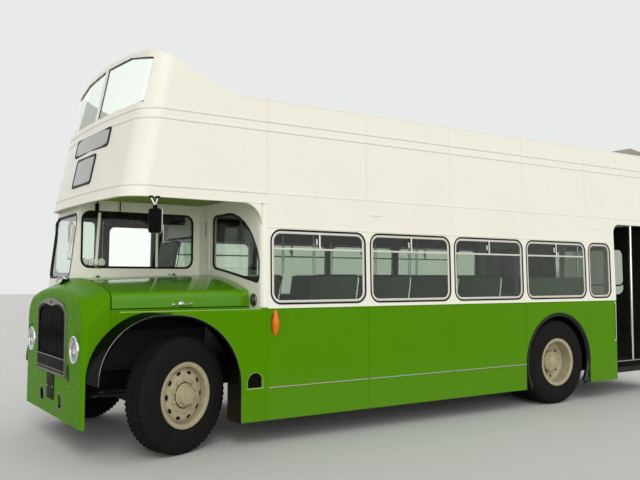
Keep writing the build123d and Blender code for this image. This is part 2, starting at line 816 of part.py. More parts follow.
def rear_tyres(sign):
    """The two tyres of a rear side."""
    tyres = []
    for y in (TWIN_OUT_Y, TWIN_OUT_Y - TWIN_SPACING):
        tyres.append(Pos(AXLE_R, sign * y, TYRE_R) * tyre())
    return Compound(children=tyres)


def saloon_floor():
    """Floor of the lower saloon with a box over each pair of rear wheels."""
    z0 = SALOON_FLOOR_Z - FLOOR_T
    floor = body_block(PLATFORM_EDGE, BULKHEAD_X - BULKHEAD_T, z0, SALOON_FLOOR_Z, SKIN)
    inner = WHEEL_BOX_HALF - WHEEL_BOX_T
    for sign in (-1, 1):
        low_y, high_y = sided(sign, WHEEL_BOX_IN_Y, HALF - SKIN)
        floor += block(AXLE_R - WHEEL_BOX_HALF, AXLE_R + WHEEL_BOX_HALF, low_y, high_y, z0, WHEEL_BOX_Z)
        low_y, high_y = sided(sign, WHEEL_BOX_IN_Y + WHEEL_BOX_T, HALF)
        floor -= block(AXLE_R - inner, AXLE_R + inner, low_y, high_y, z0 - 10, WHEEL_BOX_Z - WHEEL_BOX_T)
    return floor


def rear_platform():
    """Open platform with its riser up to the saloon floor."""
    low = PLATFORM_Z - PLATFORM_T
    deck = rear_solid(low, PLATFORM_Z, SKIN, PLATFORM_EDGE)
    return deck + body_block(PLATFORM_EDGE - 30, PLATFORM_EDGE, low, SALOON_FLOOR_Z, SKIN)


def lower_side():
    """Nearside saloon wall from the bulkhead to the platform, with its windows and rear arch."""
    wall = side_slab(PLATFORM_EDGE, FIRST_JOINT, SKIRT_Z, DECK_Z, 0, SKIN)
    for start, end in WINDOWS:
        wall -= pane_y(end, start, SILL_Z, HEAD_Z, WINDOW_R, *NEAR_CUT)
    wall -= arch_cut(AXLE_R, REAR_ARCH_Z, REAR_ARCH_R, *NEAR_CUT)
    wall += bead(AXLE_R + REAR_ARCH_R, FIRST_JOINT, RAIL_BEAD_Z)
    wall += bead(PLATFORM_EDGE, AXLE_R - REAR_ARCH_R, RAIL_BEAD_Z)
    for z in (WAIST_Z, EAVE_Z, DECK_Z - BEAD_TALL / 2):
        wall += bead(PLATFORM_EDGE, FIRST_JOINT, z)
    return wall


def wing_cut():
    """Space for the nearside front wing and its wheel, out of the walls."""
    return wing_space(WING_FIT, NOSE_IN_Y, WING_IN_Y) + wing_space(WING_FIT, WING_IN_Y, HALF + 50)


def step_hole():
    """Opening with a round top behind the front wheel."""
    x0 = STEP_HOLE_X - STEP_HOLE_R
    x1 = STEP_HOLE_X + STEP_HOLE_R
    arch = drum_y(STEP_HOLE_X, STEP_HOLE_MID_Z, STEP_HOLE_R, *NEAR_CUT)
    arch &= block(x0, x1, *NEAR_CUT, STEP_HOLE_MID_Z, STEP_HOLE_MID_Z + STEP_HOLE_R)
    return arch + block(x0, x1, *NEAR_CUT, STEP_HOLE_LOW_Z, STEP_HOLE_MID_Z)


def near_front():
    """Nearside wall behind the front wing, the ledge beside the bonnet and the panel below the lid."""
    in_y = HOOD_REAR[1] - NOSE_SKIN
    wall = block(FIRST_JOINT, LEDGE_FRONT_X, in_y, HALF, SKIRT_Z, LEDGE_Z)
    crest = [e for e in wall.edges().filter_by(Axis.X) if e.center().Y > HALF - 1 and e.center().Z > LEDGE_Z - 1]
    wall = fillet(crest, LEDGE_R)
    wall -= block(FIRST_JOINT - 5, LEDGE_FRONT_X + 5, in_y - 5, HALF - SKIN, SKIRT_Z - 5, LEDGE_Z - SKIN)
    wall -= prism_z([(LEDGE_FRONT_X - LEDGE_TAPER, HALF + 5), (LEDGE_FRONT_X + 5, HALF + 5),
                     (LEDGE_FRONT_X + 5, HOOD_REAR[1])], SKIRT_Z - 5, LEDGE_Z + 5)
    wall -= block(FIRST_JOINT - 5, BULKHEAD_X, in_y - 5, HALF - SKIN, SKIRT_Z, LEDGE_Z + 5)
    wall += block(FIRST_JOINT, BULKHEAD_X, HALF - SKIN, HALF, WAIST_Z - SKIN, CAB_LOW_Z)
    panel = [(BULKHEAD_X, HOOD_REAR[1]), (HOOD_FRONT_X, HOOD_FRONT[1]), (HOOD_FRONT_X, HOOD_FRONT[1] - NOSE_SKIN),
             (BULKHEAD_X, in_y)]
    wall += prism_z(panel, LID_PANEL_LOW_Z, CAB_LOW_Z)
    return wall - wing_cut() - step_hole()


def off_front():
    """Offside wall below the cab, over and behind the front wing."""
    outline = cab_plan(CAB_LOW_Z, 0) - cab_plan(CAB_LOW_Z, SKIN)
    wall = extrude(outline, amount=CAB_LOW_Z - SKIRT_Z, dir=(0, 0, -1))
    wall &= block(BULKHEAD_X, HOOD_FRONT_X, -HALF, NOSE_SKIN - HOOD_FRONT[1], SKIRT_Z, CAB_LOW_Z)
    wall += block(FIRST_JOINT, BULKHEAD_X, -HALF, SKIN - HALF, SKIRT_Z, CAB_LOW_Z)
    return wall - other_side(wing_cut() + step_hole())


def bulkhead_quadrant(clear):
    """Quadrant-shaped window of the nearside bulkhead, smaller by a clearance."""
    x = FIRST_JOINT - 10
    corners = {name: (x, y, z) for name, y, z in QUADRANT}
    edges = [Polyline(corners["low cab"], corners["high cab"], corners["arc start"]),
             ThreePointArc(corners["arc start"], corners["arc middle"], corners["arc end"]),
             Line(corners["arc end"], corners["low side"]),
             ThreePointArc(corners["low side"], corners["sill middle"], corners["low cab"])]
    face = make_face(edges)
    tips = [v for v in face.vertices() if v.Y < QUADRANT[1][1] + 1 or v.Z < QUADRANT[5][2] + 1]
    face = fillet(tips, QUADRANT_R)
    if clear > 0:
        face = offset(face, amount=-clear)
    return extrude(face, amount=BULKHEAD_X - FIRST_JOINT + 20, dir=(1, 0, 0))


def front_bulkhead():
    """Wall behind the bonnet and the driver, returned to the first panel joint with a round corner."""
    back_x = BULKHEAD_X - BULKHEAD_T
    low = body_block(back_x, BULKHEAD_X, FRAME_TOP_Z, CAB_LOW_Z, SKIN)
    high = body_block(FIRST_JOINT, BULKHEAD_X, CAB_LOW_Z, CANOPY_Z, 0)
    front = high.faces().sort_by(Axis.X)[-1]
    corners = [e for e in front.edges() if abs(e.center().Y) > HALF / 2]
    high = fillet(corners, BULKHEAD_CORNER_R)
    high -= body_block(FIRST_JOINT - 5, back_x, CAB_LOW_Z - 5, CANOPY_Z + 5, SKIN)
    head = body_block(back_x, BULKHEAD_X, CANOPY_Z, DECK_Z - FLOOR_T, SKIN)
    y0, y1, z0, z1 = CAB_REAR_WINDOW
    wall = low + high + head
    wall -= pane_x(y0, y1, z0, z1, CAB_WINDOW_R, FIRST_JOINT - 10, BULKHEAD_X + 10)
    return wall - bulkhead_quadrant(0)


def platform_partition():
    """Wall between the saloon and the platform, with a way through and a window each side of it."""
    x0 = PLATFORM_EDGE
    x1 = PLATFORM_EDGE + PARTITION_T
    top = DECK_Z - FLOOR_T
    wall = body_block(x0, x1, SALOON_FLOOR_Z, top, SKIN)
    wall -= block(x0 - 5, x1 + 5, -PARTITION_IN_Y, PARTITION_IN_Y, SALOON_FLOOR_Z - 5, top - PARTITION_POST)
    for sign in (-1, 1):
        low_y, high_y = sided(sign, PARTITION_IN_Y + PARTITION_POST, HALF - 150)
        wall -= pane_x(low_y, high_y, SILL_Z, HEAD_Z, PARTITION_R, x0 - 5, x1 + 5)
    return wall


def rear_lower_body():
    """Rear wall round the platform, open on the nearside."""
    wall = rear_shell(SKIRT_Z, DECK_Z, 0, SKIN, PLATFORM_EDGE)
    wall -= pane_y(REAR_X - 400, PLATFORM_EDGE - DOORWAY_FRONT, SKIRT_Z - 300, DOORWAY_TOP_Z, DOORWAY_R,
                   DOORWAY_IN_Y, HALF + 100)
    y0, y1 = REAR_WINDOW
    return wall - pane_x(y0, y1, SILL_Z, HEAD_Z, WINDOW_R, REAR_X - 100, REAR_X + 150)


def wing():
    """Nearside front wing: crown, turned-down lip, inner valance and mud flap."""
    crown = wing_space(0, WING_IN_Y, HALF) - wing_space(-WING_T, WING_IN_Y - 5, HALF + 5)
    lip = wing_space(0, HALF - WING_LIP_T, HALF) - wing_space(-WING_LIP, HALF - WING_LIP_T - 5, HALF + 5)
    shape = crown + lip
    shape -= block(WING_X, NOSE_X, 0, HALF + 100, -5, WING_TIP_Z)
    shape -= block(WING_X - 900, WING_X, 0, HALF + 100, -5, WING_Z)
    valance = wing_space(0, WING_IN_Y, WING_IN_Y + WING_T)
    valance &= block(WING_X - WING_R, NOSE_X, WING_IN_Y, WING_IN_Y + WING_T, CAB_FLOOR_Z, CAB_LOW_Z)
    flap = block(WING_X - WING_R, WING_X - WING_R + WING_T, WING_IN_Y, HALF, FLAP_LOW_Z, WING_Z + 10)
    return shape + valance + flap


def arch_lip():
    """Nearside rear arch lip."""
    lip = drum_y(AXLE_R, REAR_ARCH_Z, REAR_ARCH_R, HALF - SKIN, HALF + BEAD_OUT)
    lip -= drum_y(AXLE_R, REAR_ARCH_Z, REAR_ARCH_R - ARCH_LIP, HALF - SKIN - 5, HALF + BEAD_OUT + 5)
    return lip - block(AXLE_R - 700, AXLE_R + 700, HALF - 60, HALF + 40, -200, SKIRT_Z)


def grille_outline(clear, x0, x1):
    """The grille's outline with its arched top, smaller by a clearance."""
    half = GRILLE_HALF - clear
    top = GRILLE_TOP_Z - clear
    low = GRILLE_LOW_Z + clear
    shoulder = top - GRILLE_ARCH
    base = Polyline((x0, half, shoulder), (x0, half, low), (x0, -half, low), (x0, -half, shoulder))
    arch = ThreePointArc((x0, -half, shoulder), (x0, 0, top), (x0, half, shoulder))
    face = make_face([base, arch])
    face = fillet(face.vertices().sort_by(Axis.Z)[-2:], GRILLE_R - clear)
    return extrude(face, amount=x1 - x0, dir=(1, 0, 0))


def nose_cowl():
    """Front cowl with openings for the grille, lamps and towing eyes."""
    form = loft([hood_face(NOSE_FRONT, 0), hood_face(HOOD_FRONT, 0)], ruled=True)
    front = form.faces().sort_by(Axis.X)[-1]
    form = fillet([e for e in front.edges() if e.center().Z > NOSE_LOW_Z + 5], NOSE_EDGE_R)
    hollow_front = (NOSE_X - NOSE_SKIN,) + NOSE_FRONT[1:]
    hollow_back = (HOOD_FRONT_X - 5,) + HOOD_FRONT[1:]
    form -= loft([hood_face(hollow_front, NOSE_SKIN), hood_face(hollow_back, NOSE_SKIN)], ruled=True)
    form -= block(HOOD_FRONT_X - 5, NOSE_X - NOSE_SKIN, NOSE_SKIN - NOSE_FRONT[1], NOSE_FRONT[1] - NOSE_SKIN,
                  NOSE_LOW_Z - 5, NOSE_LOW_Z + 5)
    form -= wing_cut() + other_side(wing_cut())
    form -= block(HOOD_FRONT_X - 5, CAB_FRONT_X, -HALF, CAB_NEAR_Y, CAB_LOW_Z, NOSE_X)
    for sign in (-1, 1):
        low_y, high_y = sided(sign, NOSE_IN_Y, HALF)
        form -= block(HOOD_FRONT_X - 10, NOSE_RETURN_X, low_y, high_y, 0, WING_TIP_Z)
        form -= drum_x(sign * HEADLAMP_Y, HEADLAMP_Z, HEADLAMP_R - HEADLAMP_LIP, NOSE_X - 150, NOSE_X + 50)
        form -= drum_x(sign * TOW_Y, TOW_Z, TOW_HOLE_R, NOSE_X - 100, NOSE_X + 50)
    return form - grille_outline(0, NOSE_X - 100, NOSE_X + 50)


def radiator_grille():
    """Bright surround with upright slats over a plain lower panel."""
    back = NOSE_X - NOSE_SKIN
    surround = grille_outline(GLASS_FIT, back, NOSE_X + GRILLE_OUT)
    mesh = block(back - 10, NOSE_X + 20, -GRILLE_HALF, GRILLE_HALF, GRILLE_MESH_Z, GRILLE_TOP_Z)
    shape = surround - (grille_outline(GRILLE_RIM, back - 10, NOSE_X + 20) & mesh)
    reach = GRILLE_HALF - GRILLE_RIM
    pitch = 2 * reach / (GRILLE_SLATS + 1)
    bars = [block(back, NOSE_X, -GRILLE_HALF, GRILLE_HALF, GRILLE_BAR_Z, GRILLE_BAR_Z + SLAT_T)]
    for i in range(GRILLE_SLATS):
        y = (i + 1) * pitch - reach
        bars.append(block(back, NOSE_X, y - SLAT_T / 2, y + SLAT_T / 2, GRILLE_MESH_Z - 5, GRILLE_TOP_Z))
    return shape + (joined(bars) & grille_outline(GRILLE_RIM - 3, back - 10, NOSE_X + 20))


def hood_form(inset):
    """Form of the bonnet from the nose to the bulkhead."""
    return loft([hood_face(HOOD_FRONT, inset), hood_face(HOOD_REAR, inset)], ruled=True)


def ridge_z(x):
    """Height of the bonnet at the cab wall."""
    share = (HOOD_FRONT_X - x) / (HOOD_FRONT_X - BULKHEAD_X)
    crown = HOOD_FRONT[2] + share * (HOOD_REAR[2] - HOOD_FRONT[2])
    return crown - 3


def lid_axis(x):
    """Place on the bonnet's hinge line, which follows the slope of the bonnet."""
    return (x, CAB_NEAR_Y + HINGE_OUT, ridge_z(x) + LID_HINGE_UP)


def bonnet_lid():
    """Top and nearside of the bonnet in one piece, with two hinge leaves along the cab wall."""
    lid = hood_form(0) - hood_form(HOOD_SKIN)
    lid &= block(BULKHEAD_X + HOOD_GAP, HOOD_FRONT_X - HOOD_FRONT_GAP, CAB_NEAR_Y + HOOD_GAP, HALF + 10,
                 CAB_LOW_Z + HOOD_GAP, HOOD_REAR[2] + 50)
    for x in LID_HINGES:
        back = x - HINGE_LONG
        y, z = lid_axis(back)[1:]
        lid += block(back, x - HOOD_GAP, y, y + 40, z - LID_HINGE_UP - HOOD_SKIN / 2, z - 2)
        lid += rod(lid_axis(back), lid_axis(x - HINGE_RUN), HINGE_R)
        lid -= rod(lid_axis(back - 5), lid_axis(x + 5), HINGE_PIN_R + HINGE_RUN)
    return lid


def lid_brackets():
    """Fixed halves of the bonnet hinges with their pins, on the cab wall."""
    pieces = []
    for x in LID_HINGES:
        front = x + HINGE_LONG
        y, z = lid_axis(x)[1:]
        pieces.append(rod(lid_axis(x - HINGE_LONG), lid_axis(front), HINGE_PIN_R))
        pieces.append(rod(lid_axis(x), lid_axis(front), HINGE_R))
        pieces.append(block(x + HINGE_BLOCK_GAP, front, CAB_NEAR_Y - 2, y, z - HINGE_BLOCK_HALF, z + HINGE_BLOCK_HALF))
    return pieces


def door_brackets():
    """Fixed halves of the cab door's hinges with their pins."""
    pieces = []
    y = -HALF - HINGE_OUT
    for z in DOOR_HINGES:
        pieces.append(drum_z(DOOR_FRONT_X, y, HINGE_PIN_R, z - HINGE_LONG, z + HINGE_LONG))
        pieces.append(drum_z(DOOR_FRONT_X, y, HINGE_R, z, z + HINGE_LONG))
        pieces.append(block(DOOR_FRONT_X, DOOR_FRONT_X + 45, y - 5, 5 - side_y(z), z, z + HINGE_LONG))
    return pieces


def cab_shell():
    """Cab walls with windscreen, side windows and door opening, and the fixed hinge halves."""
    cab = cab_solid(0) - cab_solid(CAB_WALL)
    open_back = body_block(BULKHEAD_X - 10, BULKHEAD_X + 200, CAB_LOW_Z - 5, DECK_Z, CAB_WALL)
    cab -= open_back & block(BULKHEAD_X - 10, BULKHEAD_X + 200, -HALF, CAB_NEAR_Y - CAB_WALL, CAB_LOW_Z - 5, DECK_Z)
    cab -= front_shell(CANOPY_Z, DECK_Z, 0, SKIN, BULKHEAD_X)
    y0, y1, z0, z1 = WINDSCREEN
    cab -= pane_x(y0, y1, z0, z1, CAB_WINDOW_R, AXLE_F + 300, NOSE_X)
    x0, x1, z0, z1 = CAB_SIDE_WINDOW
    cab -= pane_y(x0, x1, z0, z1, CAB_WINDOW_R, CAB_NEAR_Y - 100, CAB_NEAR_Y + 50)
    x0, x1, z0, z1 = CAB_QUARTER
    cab -= pane_y(x0, x1, z0, z1, QUARTER_R, *OFF_CUT)
    cab -= pane_y(DOOR_REAR_X, DOOR_FRONT_X, DOOR_LOW_Z, DOOR_TOP_Z, DOOR_R, *OFF_CUT)
    return joined([cab] + lid_brackets() + door_brackets())


def cab_door():
    """Cab door with its window lowered, and its hinge barrels."""
    x0 = DOOR_REAR_X + DOOR_GAP
    x1 = DOOR_FRONT_X - DOOR_GAP
    z0 = DOOR_LOW_Z + DOOR_GAP
    z1 = DOOR_TOP_Z - DOOR_GAP
    door = side_slab(x0, x1, z0, z1, 0, CAB_WALL) & pane_y(x0, x1, z0, z1, DOOR_R - DOOR_GAP, *NEAR_CUT)
    edge = DOOR_WINDOW_EDGE
    door -= pane_y(x0 + edge, x1 - edge, DOOR_WINDOW_LOW_Z, z1 - edge, QUARTER_R, *NEAR_CUT)
    y = HALF + HINGE_OUT
    for z in DOOR_HINGES:
        low = z - HINGE_LONG
        high = z - HINGE_RUN
        door += drum_z(DOOR_FRONT_X, y, HINGE_R, low, high)
        door += block(x1 - 45, DOOR_FRONT_X, side_y(z) - 5, y + 5, low, high)
        door -= drum_z(DOOR_FRONT_X, y, HINGE_PIN_R + HINGE_RUN, low - 5, z + 5)
    return other_side(door)


def cab_floor():
    """Cab floor with its side wall beside the engine."""
    floor = block(BULKHEAD_X, CAB_FLOOR_FRONT, -WING_IN_Y, CAB_NEAR_Y, CAB_FLOOR_Z - 30, CAB_FLOOR_Z)
    return floor + block(BULKHEAD_X, CAB_FLOOR_FRONT, CAB_NEAR_Y - CAB_WALL, CAB_NEAR_Y, CAB_FLOOR_Z, CAB_LOW_Z)


def steering_wheel():
    """Steering wheel and column on the cab floor."""
    base_x, y = STEERING_FOOT
    r = STEERING_COLUMN_R
    top = (base_x - STEERING_BACK, y, CAB_FLOOR_Z + STEERING_RISE)
    foot = block(base_x - 2 * r, base_x + 2 * r, y - 2 * r, y + 2 * r, CAB_FLOOR_Z, CAB_FLOOR_Z + r)
    column = rod((base_x - r / 4, y, CAB_FLOOR_Z + r * 2 / 3), top, r)
    plane = Plane(origin=top, z_dir=(-STEERING_BACK, 0, STEERING_RISE))
    ring = plane * Torus(STEERING_R, STEERING_RIM_R)
    wide, thick = STEERING_SPOKE
    long = 2 * STEERING_R - STEERING_RIM_R
    spokes = plane * (Box(long, wide, thick) + Box(wide, long, thick) + Cylinder(STEERING_HUB_R, 2 * r))
    return joined([foot, column, ring, spokes])


def stairs():
    """Quarter-turn stairs from the platform to the upper deck, treads and risers in one."""
    rise = (DECK_Z - PLATFORM_Z) / RISERS
    turn_x = STAIR_REAR_X + STAIR_WIDE
    going = (PLATFORM_EDGE - turn_x) / (RISERS - FIRST_FLIGHT - 2)
    wall_y = SKIN - HALF
    pieces = []
    for i in range(FIRST_FLIGHT + 1):
        z = PLATFORM_Z + (i + 1) * rise
        base = z - rise - STEP_T if i else PLATFORM_Z
        y1 = STAIR_FIRST_Y - i * STAIR_GOING
        y0 = y1 - STAIR_GOING if i < FIRST_FLIGHT else wall_y
        pieces.append(block(STAIR_REAR_X, turn_x, y0, y1, z - STEP_T, z))
        pieces.append(block(STAIR_REAR_X, turn_x, y1 - RISER_T, y1, base, z))
    for i in range(FIRST_FLIGHT + 1, RISERS):
        z = PLATFORM_Z + (i + 1) * rise
        x0 = turn_x + (i - FIRST_FLIGHT - 1) * going
        top = z
        if i == RISERS - 1:
            top = DECK_Z - FLOOR_T
        else:
            pieces.append(block(x0 - RISER_T, x0 + going, wall_y, STAIR_IN_Y, z - STEP_T, z))
        pieces.append(block(x0 - RISER_T, x0, wall_y, STAIR_IN_Y, z - rise - STEP_T, top))
    return joined(pieces) & rear_solid(PLATFORM_Z, DECK_Z, SKIN, PLATFORM_EDGE + 100)


def handrails():
    """Pole at the platform edge and the post by the stairs."""
    ceiling = DECK_Z - FLOOR_T
    y = HALF - POLE_IN
    pole = rod((POLE_X, y, PLATFORM_Z), (POLE_X, y, ceiling), POLE_R)
    post_x = STAIR_REAR_X + STAIR_WIDE + 40
    post_y = STAIR_FIRST_Y + 40
    post = rod((post_x, post_y, PLATFORM_Z), (post_x, post_y, ceiling), POLE_R)
    return Compound(children=[pole, post])


def upper_floor():
    """Floor of the upper deck and ceiling below, with the stairwell."""
    z0 = DECK_Z - FLOOR_T
    floor = front_solid(z0, DECK_Z, SKIN, BULKHEAD_X)
    floor += body_block(PLATFORM_EDGE, BULKHEAD_X, z0, DECK_Z, SKIN)
    back = rear_solid(z0, DECK_Z, SKIN, PLATFORM_EDGE)
    back -= block(STAIR_REAR_X, PLATFORM_EDGE, -HALF, STAIR_IN_Y + 10, z0 - 5, DECK_Z + 5)
    return floor + back


def canopy():
    """Skirt round the front over the cab and bonnet, with the quarter arc down to the bulkhead."""
    skirt = front_shell(CANOPY_Z, DECK_Z, 0, SKIN, FIRST_JOINT)
    arc_x = BULKHEAD_X + CANOPY_ARC_R
    arc_z = CANOPY_Z - CANOPY_ARC_R
    corner = side_slab(BULKHEAD_X, arc_x, arc_z, CANOPY_Z, 0, SKIN)
    corner -= drum_y(arc_x, arc_z, CANOPY_ARC_R, *NEAR_CUT)
    return skirt + corner


def upper_side():
    """Nearside upper panel."""
    wall = side_slab(PLATFORM_EDGE, FIRST_JOINT, DECK_Z, TOP_Z, 0, SKIN)
    for z in (BAND_LOW_Z, BAND_TOP_Z):
        wall += bead(PLATFORM_EDGE, FIRST_JOINT, z)
    return wall


def upper_front():
    """Curved front panel below the screens."""
    return front_shell(DECK_Z, BAND_TOP_Z, 0, SKIN, FIRST_JOINT)


def screen_opening(sign, clear):
    """Opening of one front screen, smaller by a clearance."""
    y_in = SCREEN_PILLAR / 2 + clear
    y_out = SCREEN_WIDE - clear
    low = SCREEN_LOW_Z + clear
    drop = SCREEN_EDGE + clear
    points = [(y_in, low), (y_in, SCREEN_MID_Z - drop), (SCREEN_SHOULDER_Y, SCREEN_SHOULDER_Z - drop),
              (y_out, SCREEN_CORNER_Z - drop), (y_out, low)]
    return prism_x([(sign * y, z) for y, z in points], AXLE_F - 100, NOSE_X)


def front_screen_frame():
    """Frame of the two front screens with a gusset down to each side."""
    shape = front_shell(BAND_TOP_Z, SCREEN_MID_Z, 0, SKIN, FIRST_JOINT)
    over = SCREEN_MID_Z + 60
    shape -= prism_y([(FIRST_JOINT - 10, TOP_Z), (GUSSET_REAR_X, TOP_Z), (GUSSET_KNEE_X, GUSSET_KNEE_Z),
                      (GUSSET_FRONT_X, SCREEN_CORNER_Z), (GUSSET_FRONT_X, over), (FIRST_JOINT - 10, over)],
                     -HALF - 20, HALF + 20)
    right = [(SCREEN_SHOULDER_Y, SCREEN_SHOULDER_Z), (HALF, SCREEN_CORNER_Z), (HALF, over)]
    left = [(-y, z) for y, z in reversed(right)]
    shape -= prism_x([(0, SCREEN_MID_Z)] + right + left, FIRST_JOINT - 20, NOSE_X)
    for sign in (-1, 1):
        shape -= screen_opening(sign, 0)
    return shape


def upper_rear():
    """Rear of the upper deck, raised in the middle."""
    wall = rear_shell(DECK_Z, REAR_TOP_Z, 0, SKIN, PLATFORM_EDGE)
    over = REAR_TOP_Z + 20
    wall -= block(REAR_X + REAR_CORNER_R + 50, PLATFORM_EDGE + 10, -HALF, HALF, TOP_Z, over)
    right = [(REAR_TOP_HALF, REAR_TOP_Z - 5), (REAR_SHOULDER_Y, TOP_Z + 60), (HALF, TOP_Z), (HALF, over)]
    left = [(-y, z) for y, z in reversed(right)]
    return wall - prism_x(right + left, REAR_X - 50, REAR_X + REAR_CORNER_R + 60)


def framed(start, end, transom):
    """Nearside window frame, with sliding lights above the transom if there is one."""
    layer = side_slab(end, start, SILL_Z, HEAD_Z, FRAME_SET, FRAME_SET + FRAME_DEEP)
    ring = layer & pane_y(end, start, SILL_Z, HEAD_Z, WINDOW_R, *NEAR_CUT)
    edge = FRAME_EDGE
    ring -= pane_y(end + edge, start - edge, SILL_Z + edge, HEAD_Z - edge, WINDOW_R - edge, *NEAR_CUT)
    if not transom:
        return ring
    middle = (start + end) / 2
    ring += side_slab(end + 2, start - 2, transom, transom + BAR_W, FRAME_SET, GLASS_SET)
    return ring + side_slab(middle - BAR_W / 2, middle + BAR_W / 2, transom, HEAD_Z - 2, FRAME_SET, GLASS_SET)


def window_frames():
    """Frames of the saloon windows."""
    frames = [framed(start, end, VENT_Z) for start, end in WINDOWS[:-1]]
    start, end = WINDOWS[-1]
    return both_sides(frames + [framed(start, end, 0)])


def saloon_glass():
    """Panes of the saloon, the rear wall and the partition."""
    near = []
    edge = FRAME_EDGE + GLASS_FIT
    for start, end in WINDOWS:
        layer = side_slab(end, start, SILL_Z, HEAD_Z, GLASS_SET, GLASS_SET + GLASS_T)
        near.append(layer & pane_y(end + edge, start - edge, SILL_Z + edge, HEAD_Z - edge, WINDOW_R - edge, *NEAR_CUT))
    z0 = SILL_Z + GLASS_FIT
    z1 = HEAD_Z - GLASS_FIT
    y0, y1 = REAR_WINDOW
    rear = rear_shell(SILL_Z, HEAD_Z, GLASS_SET, GLASS_SET + GLASS_T, PLATFORM_EDGE)
    rear &= pane_x(y0 + GLASS_FIT, y1 - GLASS_FIT, z0, z1, WINDOW_R - GLASS_FIT, REAR_X - 100, REAR_X + 150)
    inner = []
    x0 = PLATFORM_EDGE + (PARTITION_T - GLASS_T) / 2
    for sign in (-1, 1):
        low_y, high_y = sided(sign, PARTITION_IN_Y + PARTITION_POST + GLASS_FIT, HALF - 150 - GLASS_FIT)
        inner.append(pane_x(low_y, high_y, z0, z1, PARTITION_R - GLASS_FIT, x0, x0 + GLASS_T))
    return Compound(children=near + [other_side(p) for p in near] + [rear] + inner)


def cab_glass():
    """Windscreen, side panes of the cab and the panes of the bulkhead."""
    fit = GLASS_FIT
    panes = []
    y0, y1, z0, z1 = WINDSCREEN
    skin = cab_solid(GLASS_SET) - cab_solid(GLASS_SET + GLASS_T)
    panes.append(skin & pane_x(y0 + fit, y1 - fit, z0 + fit, z1 - fit, CAB_WINDOW_R - fit, AXLE_F + 300, NOSE_X))
    x0, x1, z0, z1 = CAB_SIDE_WINDOW
    face_y = CAB_NEAR_Y - GLASS_SET
    panes.append(pane_y(x0 + fit, x1 - fit, z0 + fit, z1 - fit, CAB_WINDOW_R - fit, face_y - GLASS_T, face_y))
    x0, x1, z0, z1 = CAB_QUARTER
    layer = side_slab(x0, x1, z0, z1, GLASS_SET, GLASS_SET + GLASS_T)
    quarter = layer & pane_y(x0 + fit, x1 - fit, z0 + fit, z1 - fit, QUARTER_R - fit, *NEAR_CUT)
    panes.append(other_side(quarter))
    face_x = BULKHEAD_X - GLASS_SET
    y0, y1, z0, z1 = CAB_REAR_WINDOW
    panes.append(pane_x(y0 + fit, y1 - fit, z0 + fit, z1 - fit, CAB_WINDOW_R - fit, face_x - GLASS_T, face_x))
    panes.append(bulkhead_quadrant(fit) & block(face_x - GLASS_T, face_x, 0, HALF, CAB_LOW_Z, DECK_Z))
    return panes


def front_glass():
    """Panes of the cab and the front screens, and the blank destination glasses."""
    panes = cab_glass()
    layer = front_shell(BAND_TOP_Z, SCREEN_MID_Z, GLASS_SET, GLASS_SET + GLASS_T, FIRST_JOINT)
    for sign in (-1, 1):
        panes.append(layer & screen_opening(sign, GLASS_FIT))
    skin = front_shell(DECK_Z, BAND_TOP_Z, -SIGN_OUT, 0, FIRST_JOINT)
    for y0, y1, z0, z1 in SIGN_BOXES:
        panes.append(skin & pane_x(y0, y1, z0, z1, SIGN_R, AXLE_F, NOSE_X))
    return Compound(children=panes)


def seat(x, z, y0, y1):
    """A forward-facing bench whose cushion front is at x, on two pairs of legs."""
    low = z + CUSHION_Z - CUSHION_T
    top = z + SEAT_TALL
    back_x = x - SEAT_DEEP
    outline = [(x, low), (x, z + CUSHION_Z), (back_x, z + CUSHION_Z - 15), (back_x - SEAT_LEAN, top),
               (back_x - SEAT_LEAN - BACK_T, top - BACK_DROP), (back_x - BACK_T, low)]
    pieces = [prism_y(outline, y0, y1)]
    for y in (y0 + 2 * SEAT_LEG, y1 - 3 * SEAT_LEG):
        for leg_x in (x - 3 * SEAT_LEG, back_x + SEAT_LEG):
            pieces.append(block(leg_x, leg_x + SEAT_LEG, y, y + SEAT_LEG, z, low + 5))
    return joined(pieces)


def seat_reach(z):
    """Outer y of a seat on a deck at z, clear of the wall."""
    return side_y(z + SEAT_TALL) - SKIN - SEAT_WALL_GAP


def saloon_seats():
    """Forward-facing seats and a long bench over each rear wheel box."""
    reach = seat_reach(SALOON_FLOOR_Z)
    shapes = []
    for row in range(LOWER_ROWS):
        x = FIRST_JOINT - LOWER_FIRST_ROW - row * LOWER_PITCH
        shapes.append(seat(x, SALOON_FLOOR_Z, AISLE_HALF + 30, reach))
    z = WHEEL_BOX_Z
    top = z + BENCH_TALL
    bench = [(reach, z), (WHEEL_BOX_IN_Y, z), (WHEEL_BOX_IN_Y, z + BENCH_T), (reach - BENCH_T, z + BACK_T),
             (reach - BACK_T, top), (reach, top)]
    shapes.append(prism_x(bench, AXLE_R - WHEEL_BOX_HALF, AXLE_R + WHEEL_BOX_HALF))
    return both_sides(shapes)


def upper_seats():
    """Rows of forward-facing seats on the open deck."""
    reach = seat_reach(DECK_Z)
    shapes = []
    for row in range(UPPER_ROWS):
        shapes.append(seat(FRONT_DECK_X - UPPER_FIRST_ROW - row * UPPER_PITCH, DECK_Z, AISLE_HALF, reach))
    return both_sides(shapes)


def lamps():
    """Headlamps in the nose and an ear indicator on each side."""
    pieces = []
    for sign in (-1, 1):
        y = sign * HEADLAMP_Y
        body = drum_x(y, HEADLAMP_Z, HEADLAMP_R - HEADLAMP_LIP - GLASS_FIT, NOSE_X - 110, NOSE_X + 5)
        pieces.append(body + drum_x(y, HEADLAMP_Z, HEADLAMP_R, NOSE_X, NOSE_X + 16))
    ear = pane_y(EAR_X - EAR_HALF, EAR_X + EAR_HALF, EAR_LOW_Z, WAIST_Z - BEAD_TALL / 2, EAR_R, HALF, HALF + EAR_OUT)
    return Compound(children=pieces + [ear, other_side(ear)])


